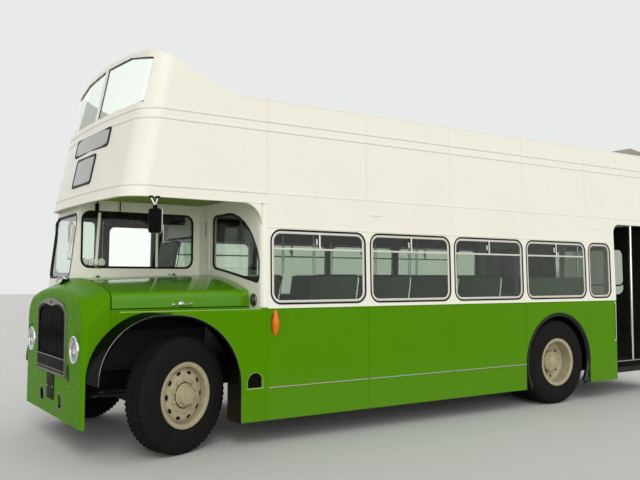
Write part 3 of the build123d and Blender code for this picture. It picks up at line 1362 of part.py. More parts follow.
def number_plate():
    """Blank plate on the nose."""
    return block(NOSE_X, NOSE_X + PLATE_T, -PLATE_HALF, PLATE_HALF, PLATE_LOW_Z, PLATE_LOW_Z + 2 * PLATE_HALF)


def mirrors():
    """Nearside mirror under the canopy edge and offside mirror on the cab."""
    low, high = MIRROR_Z
    half = MIRROR_BAR / 2
    x0 = MIRROR_X - half
    x1 = MIRROR_X + half
    arm_z = MIRROR_ARM_Z
    hang_y = side_y(CANOPY_Z) - SKIN / 2
    plate = fillet(Box(MIRROR_T, MIRROR_W, high - low).edges().filter_by(Axis.X), MIRROR_BAR)
    head = Pos(MIRROR_X, HALF, (low + high) / 2) * Rot(0, 0, MIRROR_TURN) * plate
    near = [head, block(x0, x1, HALF - half, HALF + half, high - 5, arm_z + MIRROR_BAR),
            block(x0, x1, hang_y - half, HALF + half, arm_z, arm_z + MIRROR_BAR),
            block(x0, x1, hang_y - half, hang_y + half, arm_z, CANOPY_Z)]
    out_y = -HALF - MIRROR_T
    off_z = CAB_QUARTER[3] + 10
    off = [Pos(0, -MIRROR_T, 0) * other_side(head),
           block(x0, x1, out_y - half, out_y + half, high - 5, off_z + MIRROR_BAR),
           block(x0, x1, out_y - half, -side_y(off_z), off_z, off_z + MIRROR_BAR)]
    return Compound(children=[joined(near), joined(off)])


NODES = {
    "chassis_frame": chassis_frame(),
    "front_axle_beam": front_axle_beam(),
    "rear_axle": rear_axle(),
    "leaf_springs": both_sides([leaf_spring(FRONT_SPRING), leaf_spring(REAR_SPRING)]),
    "engine_block": engine_block(),
    "gearbox_and_shaft": gearbox_and_shaft(),
    "fuel_tank": block(*TANK),
    "saloon_floor": saloon_floor(),
    "rear_platform": rear_platform(),
    "lower_sides": both_sides([lower_side()]),
    "front_sides": Compound(children=[near_front(), off_front()]),
    "front_bulkhead": front_bulkhead(),
    "platform_partition": platform_partition(),
    "rear_lower_body": rear_lower_body(),
    "wings": both_sides([wing(), arch_lip()]),
    "nose_cowl": nose_cowl(),
    "radiator_grille": radiator_grille(),
    "cab_shell": cab_shell(),
    "cab_floor": cab_floor(),
    "steering_wheel": steering_wheel(),
    "stairs": stairs(),
    "handrails": handrails(),
    "upper_floor": upper_floor(),
    "canopy": canopy(),
    "upper_sides": both_sides([upper_side()]),
    "upper_front": upper_front(),
    "front_screen_frame": front_screen_frame(),
    "upper_rear": upper_rear(),
    "window_frames": window_frames(),
    "saloon_glass": saloon_glass(),
    "front_glass": front_glass(),
    "saloon_seats": saloon_seats(),
    "upper_seats": upper_seats(),
    "driver_seat": seat(AXLE_F - 180, CAB_FLOOR_Z, -880, -400),
    "lamps": lamps(),
    "number_plate": number_plate(),
    "mirrors": mirrors(),
    "cab_door": cab_door(),
    "bonnet_lid": bonnet_lid(),
}
for side, sign in (("near", 1), ("off", -1)):
    NODES["knuckle_" + side] = knuckle(sign)
    NODES["front_wheel_" + side] = front_wheel(sign)
    NODES["front_tyre_" + side] = front_piece(tyre(), sign)
    NODES["rear_wheels_" + side] = rear_wheels(sign)
    NODES["rear_tyres_" + side] = rear_tyres(sign)

for name, shape in NODES.items():
    export_step(shape, "parts/" + name + ".step")
    print(name, len(shape.solids()), "solids", round(shape.volume / 1e6, 2), "litres")
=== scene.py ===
import logging
import math
from dataclasses import dataclass
from enum import Enum
from typing import Any, Callable, Optional, Sequence

import bmesh
import bpy
from mathutils import Matrix, Vector


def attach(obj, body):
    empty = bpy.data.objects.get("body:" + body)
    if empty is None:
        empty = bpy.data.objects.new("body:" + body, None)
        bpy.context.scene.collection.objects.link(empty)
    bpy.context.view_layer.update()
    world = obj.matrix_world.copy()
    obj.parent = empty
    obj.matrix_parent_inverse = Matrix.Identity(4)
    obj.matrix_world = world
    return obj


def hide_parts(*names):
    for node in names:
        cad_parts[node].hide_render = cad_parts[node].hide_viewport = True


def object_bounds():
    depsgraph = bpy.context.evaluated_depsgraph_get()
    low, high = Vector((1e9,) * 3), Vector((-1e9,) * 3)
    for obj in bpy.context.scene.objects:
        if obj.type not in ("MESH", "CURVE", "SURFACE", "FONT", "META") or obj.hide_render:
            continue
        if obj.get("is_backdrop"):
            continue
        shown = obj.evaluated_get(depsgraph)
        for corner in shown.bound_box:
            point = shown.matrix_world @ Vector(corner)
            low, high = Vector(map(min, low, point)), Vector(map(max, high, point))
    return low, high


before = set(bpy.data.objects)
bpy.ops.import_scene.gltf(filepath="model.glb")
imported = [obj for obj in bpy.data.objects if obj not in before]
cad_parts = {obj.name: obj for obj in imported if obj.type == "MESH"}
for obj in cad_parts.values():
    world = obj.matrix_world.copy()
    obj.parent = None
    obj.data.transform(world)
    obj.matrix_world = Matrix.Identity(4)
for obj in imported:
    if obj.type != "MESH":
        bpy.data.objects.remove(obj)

LOG = logging.getLogger("bus")
MM = 0.001
CAD_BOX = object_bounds()

Pair = tuple[float, float]
Triple = tuple[float, float, float]
Box = tuple[float, float, float, float]
Outline = list[tuple[Pair, Pair]]
Placer = Callable[[float, float, float], Vector]
Tree = bpy.types.NodeTree
Socket = bpy.types.NodeSocket

# Where turned parts start, and which way they stand
ORIGIN: Triple = (0.0, 0.0, 0.0)
AHEAD: Triple = (1.0, 0.0, 0.0)
BEHIND: Triple = (-1.0, 0.0, 0.0)
NEARSIDE: Triple = (0.0, 1.0, 0.0)
UP: Triple = (0.0, 0.0, 1.0)
DOWN: Triple = (0.0, 0.0, -1.0)


# Colours and nodes


def linear(code: str) -> tuple[float, float, float, float]:
    """Turns an sRGB hex code into a linear colour.

    Args:
        code: Six hex digits, such as "538C08".

    Returns:
        Red, green, blue and an alpha of 1.
    """
    parts = [int(code[i:i + 2], 16) / 255 for i in (0, 2, 4)]
    curve = [c / 12.92 if c <= 0.04045 else ((c + 0.055) / 1.055) ** 2.4 for c in parts]
    return (curve[0], curve[1], curve[2], 1.0)


def add(tree: Tree, kind: str, inputs: Optional[dict] = None, **settings: Any) -> bpy.types.Node:
    """Adds a node with its settings, its values and its links.

    Args:
        tree: The node tree.
        kind: The node's type, without ShaderNode before it.
        inputs: For each input name or index, a value or the socket linked to it.
        settings: The node's own properties.

    Returns:
        The new node.
    """
    node = tree.nodes.new("ShaderNode" + kind)
    for key, value in settings.items():
        setattr(node, key, value)
    for key, value in (inputs or {}).items():
        if isinstance(value, bpy.types.NodeSocket):
            tree.links.new(value, node.inputs[key])
        else:
            node.inputs[key].default_value = value
    return node


# Finishes


@dataclass(frozen=True)
class Ground:
    """What a finish is drawn on: the node tree, and the place and the direction in the object's frame."""

    tree: Tree
    place: Socket
    normal: Socket


@dataclass(frozen=True)
class Finish:
    """A surface finish: its colour, gloss, patchiness and fine relief, all drawn by nodes."""

    name: str
    hue: str
    roughness: float = 0.5
    metallic: float = 0.0
    ior: float = 1.5
    coat: float = 0.0
    sheen: float = 0.0
    patch_mm: float = 350.0
    patch: float = 0.06
    grain_mm: float = 3.0
    grain_rise_mm: float = 0.03
    smear_mm: float = 111.0
    dust: float = 0.0
    dust_hue: str = "8C8066"
    dust_top_mm: float = 750.0
    speck_mm: float = 71.4

    def make(self) -> bpy.types.Material:
        """Builds the material once.

        Returns:
            The material of this finish.
        """
        known = bpy.data.materials.get(self.name)
        if known:
            return known
        material = bpy.data.materials.new(self.name)
        material.use_nodes = True
        tree = material.node_tree
        tree.nodes.clear()
        coords = add(tree, "TexCoord")
        on = Ground(tree, coords.outputs["Object"], coords.outputs["Normal"])
        inputs = {"Base Color": self.weather(on, self.colour(on)), "Roughness": self.gloss(on),
                  "Metallic": self.metallic, "Coat Weight": self.coat, "Coat Roughness": 0.04,
                  "Sheen Weight": self.sheen, "Normal": self.relief(on)}
        if self.metallic < 0.5:
            inputs["IOR"] = self.ior
        shader = add(tree, "BsdfPrincipled", inputs)
        self.special(on, shader)
        add(tree, "OutputMaterial", {"Surface": shader.outputs[0]})
        return material

    def colour(self, on: Ground) -> Socket:
        """Gives the colour before weathering: the hue with soft patches."""
        return self.patched(on, self.hue)

    def patched(self, on: Ground, code: str) -> Socket:
        """Mixes a hue with a darker and a lighter self in large soft patches.

        Args:
            on: What the finish is drawn on.
            code: The hue as hex digits.

        Returns:
            The colour socket.
        """
        base = linear(code)
        dark = tuple(c * (1 - self.patch) for c in base[:3]) + (1.0,)
        light = tuple(min(1.0, c * (1 + self.patch)) for c in base[:3]) + (1.0,)
        noise = add(on.tree, "TexNoise", {"Vector": on.place, "Scale": 1000 / self.patch_mm, "Detail": 3.0})
        return add(on.tree, "Mix", {0: noise.outputs["Fac"], 6: dark, 7: light}, data_type="RGBA").outputs[2]

    def weather(self, on: Ground, colour: Socket) -> Socket:
        """Lays road dust over the lowest part, thicker towards the ground.

        Args:
            on: What the finish is drawn on.
            colour: The colour under the dust.

        Returns:
            The colour socket with its dust.
        """
        if not self.dust:
            return colour
        height = add(on.tree, "SeparateXYZ", {0: on.place}).outputs["Z"]
        speck = add(on.tree, "TexNoise", {"Vector": on.place, "Scale": 1000 / self.speck_mm, "Detail": 6.0})
        low = add(on.tree, "MapRange", {"Value": height, "From Min": 0.15, "From Max": self.dust_top_mm * MM,
                                        "To Min": self.dust, "To Max": 0.0}).outputs[0]
        amount = add(on.tree, "Math", {0: speck.outputs["Fac"], 1: low}, operation="MULTIPLY").outputs[0]
        return add(on.tree, "Mix", {0: amount, 6: colour, 7: linear(self.dust_hue)}, data_type="RGBA").outputs[2]

    def gloss(self, on: Ground) -> Socket:
        """Varies the roughness a little from place to place.

        Args:
            on: What the finish is drawn on.

        Returns:
            The roughness socket.
        """
        noise = add(on.tree, "TexNoise", {"Vector": on.place, "Scale": 1000 / self.smear_mm, "Detail": 4.0})
        return add(on.tree, "MapRange", {"Value": noise.outputs["Fac"], "To Min": self.roughness * 0.75,
                                         "To Max": min(1.0, self.roughness * 1.3)}).outputs[0]

    def relief(self, on: Ground) -> Socket:
        """Gives the fine relief of the surface.

        Args:
            on: What the finish is drawn on.

        Returns:
            The normal socket.
        """
        noise = add(on.tree, "TexNoise", {"Vector": on.place, "Scale": 1000 / self.grain_mm, "Detail": 2.0})
        return add(on.tree, "Bump", {"Height": noise.outputs["Fac"], "Distance": self.grain_rise_mm * MM,
                                     "Strength": 1.0}).outputs[0]

    def special(self, on: Ground, shader: bpy.types.Node) -> None:
        """Sets what only this finish has; plain finishes have nothing more."""


@dataclass(frozen=True)
class CoachPaint(Finish):
    """Brushed coach enamel: a second hue under a line, panel seams, shade under beads and lined inner faces."""

    roughness: float = 0.3
    ior: float = 1.3
    coat: float = 0.08
    patch: float = 0.025
    grain_mm: float = 14.0
    grain_rise_mm: float = 0.04
    low_hue: str = ""
    line_mm: float = 1240.0
    seams_mm: tuple[float, ...] = ()
    seam_top_mm: float = 9999.0
    seam: float = 0.5
    seam_half_mm: float = 2.2
    seam_hue: str = "1F2410"
    shade_mm: tuple[float, ...] = ()
    shade: float = 0.4
    shade_half_mm: float = 2.8
    shade_hue: str = "6A6450"
    inner_hue: str = ""
    core: Triple = (-0.8, 0.0, 1.0)
    upright: bool = True

    def colour(self, on: Ground) -> Socket:
        """Gives the upper hue, the lower hue, the seams and shades, and the inner lining.

        Args:
            on: What the finish is drawn on.

        Returns:
            The colour socket.
        """
        parts = add(on.tree, "SeparateXYZ", {0: on.place})
        colour = self.patched(on, self.hue)
        if self.low_hue:
            low = add(on.tree, "Math", {0: parts.outputs["Z"], 1: self.line_mm * MM}, operation="LESS_THAN")
            under = self.patched(on, self.low_hue)
            colour = add(on.tree, "Mix", {0: low.outputs[0], 6: colour, 7: under}, data_type="RGBA").outputs[2]
        for axis, spots, half_mm, dark, code in (
                ("X", self.seams_mm, self.seam_half_mm, self.seam, self.seam_hue),
                ("Z", self.shade_mm, self.shade_half_mm, self.shade, self.shade_hue)):
            for spot in spots:
                near = add(on.tree, "Math", {0: parts.outputs[axis], 1: spot * MM, 2: half_mm * MM},
                           operation="COMPARE")
                below = add(on.tree, "Math", {0: parts.outputs["Z"], 1: self.seam_top_mm * MM}, operation="LESS_THAN")
                line = add(on.tree, "Math", {0: near.outputs[0], 1: below.outputs[0]}, operation="MULTIPLY")
                line = add(on.tree, "Math", {0: line.outputs[0], 1: dark}, operation="MULTIPLY")
                colour = add(on.tree, "Mix", {0: line.outputs[0], 6: colour, 7: linear(code)},
                             data_type="RGBA").outputs[2]
        if self.inner_hue:
            arm = add(on.tree, "VectorMath", {0: on.place, 1: self.core}, operation="SUBTRACT").outputs[0]
            level = (1.0, 1.0, 0.0) if self.upright else (1.0, 1.0, 1.0)
            arm = add(on.tree, "VectorMath", {0: arm, 1: level}, operation="MULTIPLY").outputs[0]
            turn = add(on.tree, "VectorMath", {0: arm, 1: on.normal}, operation="DOT_PRODUCT").outputs["Value"]
            inward = add(on.tree, "Math", {0: turn, 1: -0.02}, operation="LESS_THAN").outputs[0]
            inner = self.patched(on, self.inner_hue)
            colour = add(on.tree, "Mix", {0: inward, 6: colour, 7: inner}, data_type="RGBA").outputs[2]
        return colour


# A wave texture's band is 2 pi / (20 x scale) metres wide, so its scale is this over the band's width in mm.
WAVE = 314.0


@dataclass(frozen=True)
class DeckCover(Finish):
    """Ribbed flooring on the upward faces over a painted ceiling: ribs run along the bus."""

    under_hue: str = "DDD8C8"
    rib_mm: float = 26.0
    rib_rise_mm: float = 2.0
    worn: float = 0.35
    worn_hue: str = "6E6A60"

    def colour(self, on: Ground) -> Socket:
        """Gives the flooring with worn ribs upwards and the paint downwards.

        Args:
            on: What the finish is drawn on.

        Returns:
            The colour socket.
        """
        top = self.patched(on, self.hue)
        wave = self.ribs(on)
        worn = add(on.tree, "Math", {0: wave, 1: self.worn}, operation="MULTIPLY").outputs[0]
        top = add(on.tree, "Mix", {0: worn, 6: top, 7: linear(self.worn_hue)}, data_type="RGBA").outputs[2]
        rise = add(on.tree, "SeparateXYZ", {0: on.normal}).outputs["Z"]
        up = add(on.tree, "Math", {0: rise, 1: 0.5}, operation="GREATER_THAN").outputs[0]
        under = self.patched(on, self.under_hue)
        return add(on.tree, "Mix", {0: up, 6: under, 7: top}, data_type="RGBA").outputs[2]

    def ribs(self, on: Ground) -> Socket:
        """Draws one rib to each rib width across the bus.

        Args:
            on: What the finish is drawn on.

        Returns:
            The rib height from 0 to 1.
        """
        wave = add(on.tree, "TexWave", {"Vector": on.place, "Scale": WAVE / self.rib_mm, "Distortion": 0.0},
                   bands_direction="Y", wave_profile="SIN")
        return wave.outputs["Fac"]

    def relief(self, on: Ground) -> Socket:
        """Raises the ribs."""
        return add(on.tree, "Bump", {"Height": self.ribs(on), "Distance": self.rib_rise_mm * MM}).outputs[0]


@dataclass(frozen=True)
class Woven(Finish):
    """Moquette: warp and weft threads with a small generic check in two tones."""

    second: str = "2F4A2A"
    thread_mm: float = 3.0
    thread_rise_mm: float = 0.6
    check_mm: float = 60.0
    wear: float = 0.8
    wear_mm: float = 16.7

    def colour(self, on: Ground) -> Socket:
        """Gives the check in two tones with patchy wear.

        Args:
            on: What the finish is drawn on.

        Returns:
            The colour socket.
        """
        check = add(on.tree, "TexChecker", {"Vector": on.place, "Color1": linear(self.hue),
                                            "Color2": linear(self.second), "Scale": 1000 / self.check_mm})
        soft = add(on.tree, "TexNoise", {"Vector": on.place, "Scale": 1000 / self.wear_mm, "Detail": 5.0})
        half = add(on.tree, "Math", {0: soft.outputs["Fac"], 1: self.wear}, operation="MULTIPLY")
        return add(on.tree, "Mix", {0: half.outputs[0], 6: check.outputs["Color"], 7: linear(self.hue)},
                   data_type="RGBA").outputs[2]

    def relief(self, on: Ground) -> Socket:
        """Draws the threads, twice as coarse as real ones so that they show."""
        weave = add(on.tree, "TexVoronoi", {"Vector": on.place, "Scale": 1000 / self.thread_mm})
        return add(on.tree, "Bump", {"Height": weave.outputs["Distance"],
                                     "Distance": self.thread_rise_mm * MM}).outputs[0]


@dataclass(frozen=True)
class Pane(Finish):
    """Float glass: clear, slightly green, letting lamp light through to what is behind it."""

    clear: float = 1.0
    veil: float = 0.12

    def special(self, on: Ground, shader: bpy.types.Node) -> None:
        """Makes the pane clear and its shadow light.

        Args:
            on: What the finish is drawn on.
            shader: The shader that becomes glass.
        """
        shader.inputs["Transmission Weight"].default_value = self.clear
        shadow = add(on.tree, "LightPath").outputs["Is Shadow Ray"]
        solid = add(on.tree, "Math", {0: 1.0, 1: shadow}, operation="SUBTRACT")
        veil = add(on.tree, "Math", {0: solid.outputs[0], 1: self.veil}, operation="MAXIMUM")
        on.tree.links.new(veil.outputs[0], shader.inputs["Alpha"])


@dataclass(frozen=True)
class LampGlass(Finish):
    """Pressed lamp glass with upright flutes."""

    flute_mm: float = 9.0
    flute_rise_mm: float = 1.2
    clear: float = 0.9

    def relief(self, on: Ground) -> Socket:
        """Draws the flutes across the lamp.

        Args:
            on: What the finish is drawn on.

        Returns:
            The normal socket.
        """
        wave = add(on.tree, "TexWave", {"Vector": on.place, "Scale": WAVE / self.flute_mm, "Distortion": 0.0},
                   bands_direction="Y", wave_profile="SIN")
        return add(on.tree, "Bump", {"Height": wave.outputs["Fac"], "Distance": self.flute_rise_mm * MM}).outputs[0]

    def special(self, on: Ground, shader: bpy.types.Node) -> None:
        """Lets light through the glass."""
        shader.inputs["Transmission Weight"].default_value = self.clear


# Body colours as sRGB, and where the panels join along the sides in mm
GREEN = "528B04"
CREAM = "F2EFE1"
JOINTS = (2490.0, 1322.0, 154.0, -1014.0, -2182.0)


class Finishes:
    """Every finish of the bus, each named for its material and how its surface was made."""

    # Brushed enamel: deep green under cream, a soft sheen, faint seams, and dust on the skirt.
    two_tone = CoachPaint("brushed_enamel_two_tone", CREAM, ior=1.14, coat=0.02, patch=0.03, grain_mm=12, dust=0.14,
                          low_hue=GREEN, line_mm=1240, seams_mm=JOINTS, seam_top_mm=1240, inner_hue="23251F")
    # The same enamel in green alone: so little mirror that the grazing nose stays deep; black on the inner faces.
    green = CoachPaint("brushed_enamel_green", GREEN, 0.26, ior=1.07, coat=0.0, patch=0.04,
                       grain_rise_mm=0.05, dust=0.1, seams_mm=(3895.0,), seam_top_mm=1256, inner_hue="0E0F0D",
                       core=(3.2, 0.0, 0.75), upright=False)
    # Enamel polished by many hands on the bonnet's lid: it mirrors the cab's wall where the eye grazes it.
    lid = CoachPaint("polished_enamel_green", "569208", 0.2, coat=0.5, patch=0.03, grain_mm=16,
                     grain_rise_mm=0.03, inner_hue="0E0F0D", core=(3.2, 0.0, 0.75), upright=False)
    # Brushed cream enamel: soft gloss, slightly yellow, duller within, with thin shade under each bead.
    cream = CoachPaint("brushed_enamel_cream", CREAM, seams_mm=JOINTS, seam=0.24, shade_mm=(2303.0, 2897.0, 2983.0),
                       inner_hue="CFCAB6")
    # The bulkhead's brushed enamel: cream over the bonnet, black where it stands behind the wheel.
    bulkhead = CoachPaint("brushed_enamel_bulkhead", CREAM, low_hue="0C0D0B", line_mm=1236, inner_hue="55564C")
    # The cab's brushed enamel: cream outside, a dark lining inside that keeps glare off the panes.
    cab_cream = CoachPaint("brushed_enamel_cab", CREAM, inner_hue="2C2D28", core=(3.2, -0.68, 1.7))
    # Brushed flat paint of the canopy's ceiling, pale green: the green is a painted reflection of the green bonnet
    # below; a little dusty, no highlights.
    ceiling = Finish("ceiling_paint_with_painted_reflection", "96A550", 0.55, ior=1.3, patch=0.06, patch_mm=500, grain_mm=12)
    # Sprayed black enamel, flatted: a low sheen on the wings, and road dust that browns their feet.
    black = CoachPaint("sprayed_enamel_black", "070807", 0.28, ior=1.07, coat=0.02, patch=0.1, grain_mm=16,
                       grain_rise_mm=0.05, dust=0.22, low_hue="12100D", line_mm=563)
    # The front wings' rolled edges: black enamel polished until a thin bright line shows.
    wing_edge = Finish("polished_edge_black", "2A2B29", 0.12, ior=1.6, coat=1.0, patch=0.1, grain_mm=20)
    # The rear arches' rolled lips, sprayed: the same black with less polish, so only a grey gleam shows.
    lip_black = Finish("rolled_lip_enamel", "0A0B0A", 0.22, ior=1.3, coat=0.3, patch=0.1, grain_mm=20)
    # Carbon-black rubber, moulded: dull, dusty grey where it flexes.
    rubber = Finish("moulded_tyre_rubber", "191816", 0.75, ior=1.2, patch=0.22, patch_mm=120, grain_mm=2,
                    grain_rise_mm=0.12)
    # Window rubber, extruded: near black with a soft sheen that follows each corner.
    seal = Finish("extruded_window_rubber", "0B0C0C", 0.5, ior=1.3, patch=0.15, grain_mm=2, grain_rise_mm=0.03)
    # Sprayed wheel enamel: warm stone colour with dirt in patches.
    wheel = Finish("sprayed_wheel_enamel", "ABA183", 0.4, ior=1.3, patch=0.2, patch_mm=60, grain_mm=4,
                   grain_rise_mm=0.05)
    # Extruded aluminium trim, satin: pale, soft streaks.
    alloy = Finish("extruded_satin_aluminium", "C9C6BC", 0.34, metallic=1.0, patch=0.05, grain_mm=1.5)
    # The grille's pressed surround, the same aluminium dulled by weather.
    dull_alloy = Finish("weathered_aluminium", "85837A", 0.4, metallic=1.0, patch=0.12, patch_mm=120, grain_mm=2)
    # Anodised aluminium of the sliding lights: pale, catching light evenly.
    frame_alloy = Finish("anodised_frame_aluminium", "E4E1D4", 0.42, metallic=0.6, patch=0.04, grain_mm=1.5)
    # Folded edges of green enamel drawn pale green: the thin pale line is a painted highlight.
    edge = Finish("pale_enamel_painted_highlight", "8DB552", 0.22, ior=1.4, coat=0.5, patch=0.05, grain_mm=12)
    # Chromium plate: bright with fine wear.
    chrome = Finish("plated_chromium", "D9DADB", 0.1, metallic=1.0, patch=0.03, grain_mm=40, grain_rise_mm=0.02)
    # Cast brass under lacquer: a warm, low gleam.
    brass = Finish("lacquered_brass", "A9854A", 0.3, metallic=1.0, patch=0.1, grain_mm=2)
    # Cast and forged steel under oily grime: dark, rough, patchy.
    iron = Finish("cast_iron_grimed", "2C2926", 0.62, metallic=0.35, patch=0.25, patch_mm=80, grain_mm=3,
                  grain_rise_mm=0.4)
    # Brushed chassis paint: flat black with brush marks and patches of dirt.
    chassis = Finish("brushed_chassis_black", "121211", 0.55, ior=1.15, patch=0.2, patch_mm=120, grain_mm=5,
                     grain_rise_mm=0.15)
    # Float glass with a grey-green cast, so that what is behind it looks a little darker.
    glass = Pane("float_glass", "B6C0B4", 0.0, ior=1.45, patch=0.0, grain_mm=900, grain_rise_mm=0.02)
    # Float glass of the cab and the front screens: newer, with hardly any cast.
    clear_glass = Pane("clear_float_glass", "D8E0D8", 0.0, ior=1.4, patch=0.0, grain_mm=900, grain_rise_mm=0.02)
    # Pressed headlamp glass: clear, its flutes break the reflector into bright bands.
    lamp_glass = LampGlass("pressed_lamp_glass", "F6F7F4", 0.04, ior=1.5, patch=0.0)
    # Smoked lamp glass, pressed: almost black, with a hard gloss.
    dark_glass = Finish("dark_lamp_glass", "2F3A2E", 0.08, ior=1.5, coat=0.5, patch=0.1, patch_mm=40, grain_mm=8)
    # Amber acrylic, moulded: orange with a smooth gloss.
    amber = Finish("moulded_amber_acrylic", "E8700C", 0.2, ior=1.35, coat=0.25, patch=0.08, patch_mm=60, grain_mm=6)
    # Red acrylic, moulded: deep, with a sharp gloss.
    red = Finish("moulded_red_acrylic", "A8120E", 0.14, ior=1.49, coat=0.6, patch=0.05, grain_mm=6)
    # Glass over a painted roller blind that is left blank: flat pale grey behind gloss.
    blind = Finish("painted_blind_glass", "A9ABA6", 0.2, ior=1.35, coat=0.2, patch=0.03, grain_mm=30)
    # Coated card of the blank discs on the cab's sill: matt white.
    card = Finish("coated_white_card", "EDEFEA", 0.6, ior=1.3, patch=0.04, patch_mm=20, grain_mm=1)
    # Wool moquette, woven: deep green with a velvety rim, small checks and coarse threads.
    moquette = Woven("woven_moquette_green", "31502C", 0.95, sheen=0.35, second="223A20")
    # Leathercloth, embossed: dark green with a hide's grain and a satin shine.
    hide = Finish("embossed_leathercloth", "1F3A24", 0.42, patch=0.12, patch_mm=50, grain_mm=2.4, grain_rise_mm=0.25)
    # Linoleum, rolled with ribs: dark, with worn rib tops, over black paint beneath.
    lino = DeckCover("ribbed_linoleum", "45423D", 0.6, ior=1.3, patch=0.12, under_hue="24231F")
    # The open deck's rolled rubber cover: weathered grey ribs, over the saloon's painted ceiling.
    deck = DeckCover("ribbed_deck_cover", "5A5750", 0.65, patch=0.12, under_hue="E4E0D0")
    # Pressed aluminium plate in black enamel: bare, with a slight gloss.
    plate = Finish("pressed_plate_black", "0A0A0A", 0.35, ior=1.1, patch=0.08, grain_mm=4)
    # ABS, moulded: even black with a fine texture and soft highlights.
    plastic = Finish("moulded_black_plastic", "0B0B0B", 0.4, ior=1.15, patch=0.1, grain_mm=1.5, grain_rise_mm=0.05)
    # Rolled floor paint of the studio: pale, even and matt, so that only a shadow shows.
    floor = Finish("plain_studio_floor", "D6D6D2", 0.7, ior=1.3, patch=0.0, grain_mm=30, grain_rise_mm=0.0)


# Shapes


def sweep(start: float, end: float, steps: int) -> list[float]:
    """Gives the angles from start to end, in degrees, as radians in equal steps, with both ends."""
    return [math.radians(start + (end - start) * k / steps) for k in range(steps + 1)]


def filleted(points: Sequence[Pair], radius: float, steps: int = 6) -> Outline:
    """Rounds the corners of a closed outline.

    Args:
        points: The corners in order.
        radius: The corner radius in mm.
        steps: The number of steps in each corner.

    Returns:
        Points with their outward directions.
    """
    area = sum(a[0] * b[1] - b[0] * a[1] for a, b in zip(points, list(points[1:]) + [points[0]]))
    line: list[Vector] = []
    count = len(points)
    for i, corner in enumerate(points):
        here = Vector(corner)
        back = (Vector(points[i - 1]) - here).normalized()
        ahead = (Vector(points[(i + 1) % count]) - here).normalized()
        angle = back.angle(ahead)
        reach = min(radius / math.tan(angle / 2), 0.45 * (Vector(points[i - 1]) - here).length,
                    0.45 * (Vector(points[(i + 1) % count]) - here).length)
        centre = here + (back + ahead).normalized() * (reach / math.cos(angle / 2))
        start = here + back * reach - centre
        end = here + ahead * reach - centre
        swing = start.angle_signed(end)
        for k in range(steps + 1):
            turn = Matrix.Rotation(-swing * k / steps, 2)
            line.append(centre + turn @ start)
    result = []
    sense = 1 if area > 0 else -1
    for i, here in enumerate(line):
        along = (line[(i + 1) % len(line)] - line[i - 1]).normalized()
        result.append(((here.x, here.y), (along.y * sense, -along.x * sense)))
    return result


def rectangle(a0: float, a1: float, b0: float, b1: float, radius: float) -> Outline:
    """Gives a rounded rectangle's outline with outward directions."""
    return filleted([(a0, b0), (a1, b0), (a1, b1), (a0, b1)], radius)


def dee(middle: float, foot: float, spring: float, radius: float, corner: float) -> Outline:
    """Gives a hole with a flat foot and a top that turns round above its spring, with outward directions."""
    arc = [(middle - radius * math.cos(t), spring + radius * math.sin(t)) for t in sweep(0, 180, 14)]
    return filleted([(middle + radius, foot), (middle - radius, foot)] + arc, corner, 2)


def bowed(half: float, bow: float, radius: float) -> Outline:
    """Gives a bowed end with round corners, from one side to the other.

    Args:
        half: Half the width.
        bow: How far the middle lies ahead of the sides.
        radius: The corner radius.

    Returns:
        Points across and ahead of the middle's tip, with outward directions.
    """
    big = (half ** 2 + bow ** 2) / (2 * bow)
    run = math.sqrt((big - radius) ** 2 - (half - radius) ** 2)
    turn = math.atan2(run, half - radius)
    line = []
    for k in range(9):
        line.append((half - radius, run, radius, turn * k / 8))
    for k in range(1, 24):
        line.append((0.0, 0.0, big, turn + (math.pi - 2 * turn) * k / 24))
    for k in range(9):
        line.append((radius - half, run, radius, math.pi - turn + turn * k / 8))
    return [((across + r * math.cos(a), ahead + r * math.sin(a) - big), (math.cos(a), math.sin(a)))
            for across, ahead, r, a in line]


def arc_through(first: Pair, via: Pair, last: Pair, steps: int = 8) -> list[Pair]:
    """Gives the points of a circle's arc through three points, with its ends.

    Args:
        first: Where it starts.
        via: A point on the way.
        last: Where it ends.
        steps: The number of steps.

    Returns:
        The points in order.
    """
    a, b, c = Vector(first), Vector(via), Vector(last)
    ab, ac = b - a, c - a
    cross = 2 * (ab.x * ac.y - ab.y * ac.x)
    centre = a + Vector((ac.y * ab.length_squared - ab.y * ac.length_squared,
                         ab.x * ac.length_squared - ac.x * ab.length_squared)) / cross
    arm = a - centre
    half_turns = (arm.angle_signed(b - centre), (b - centre).angle_signed(c - centre))
    return [tuple(centre + Matrix.Rotation(-sum(half_turns) * k / steps, 2) @ arm) for k in range(steps + 1)]


def bent(points: Sequence[Triple], radius: float, steps: int = 5) -> list[Vector]:
    """Rounds the corners of an open line in space.

    Args:
        points: The corners in order.
        radius: The bend radius in mm.
        steps: The number of steps in each bend.

    Returns:
        The points of the rounded line.
    """
    line = [Vector(points[0])]
    for i in range(1, len(points) - 1):
        here = Vector(points[i])
        back = Vector(points[i - 1]) - here
        ahead = Vector(points[i + 1]) - here
        reach = min(radius, back.length * 0.45, ahead.length * 0.45)
        first = here + back.normalized() * reach
        last = here + ahead.normalized() * reach
        for k in range(steps + 1):
            t = k / steps
            line.append(first * (1 - t) ** 2 + here * 2 * t * (1 - t) + last * t ** 2)
    line.append(Vector(points[-1]))
    return line


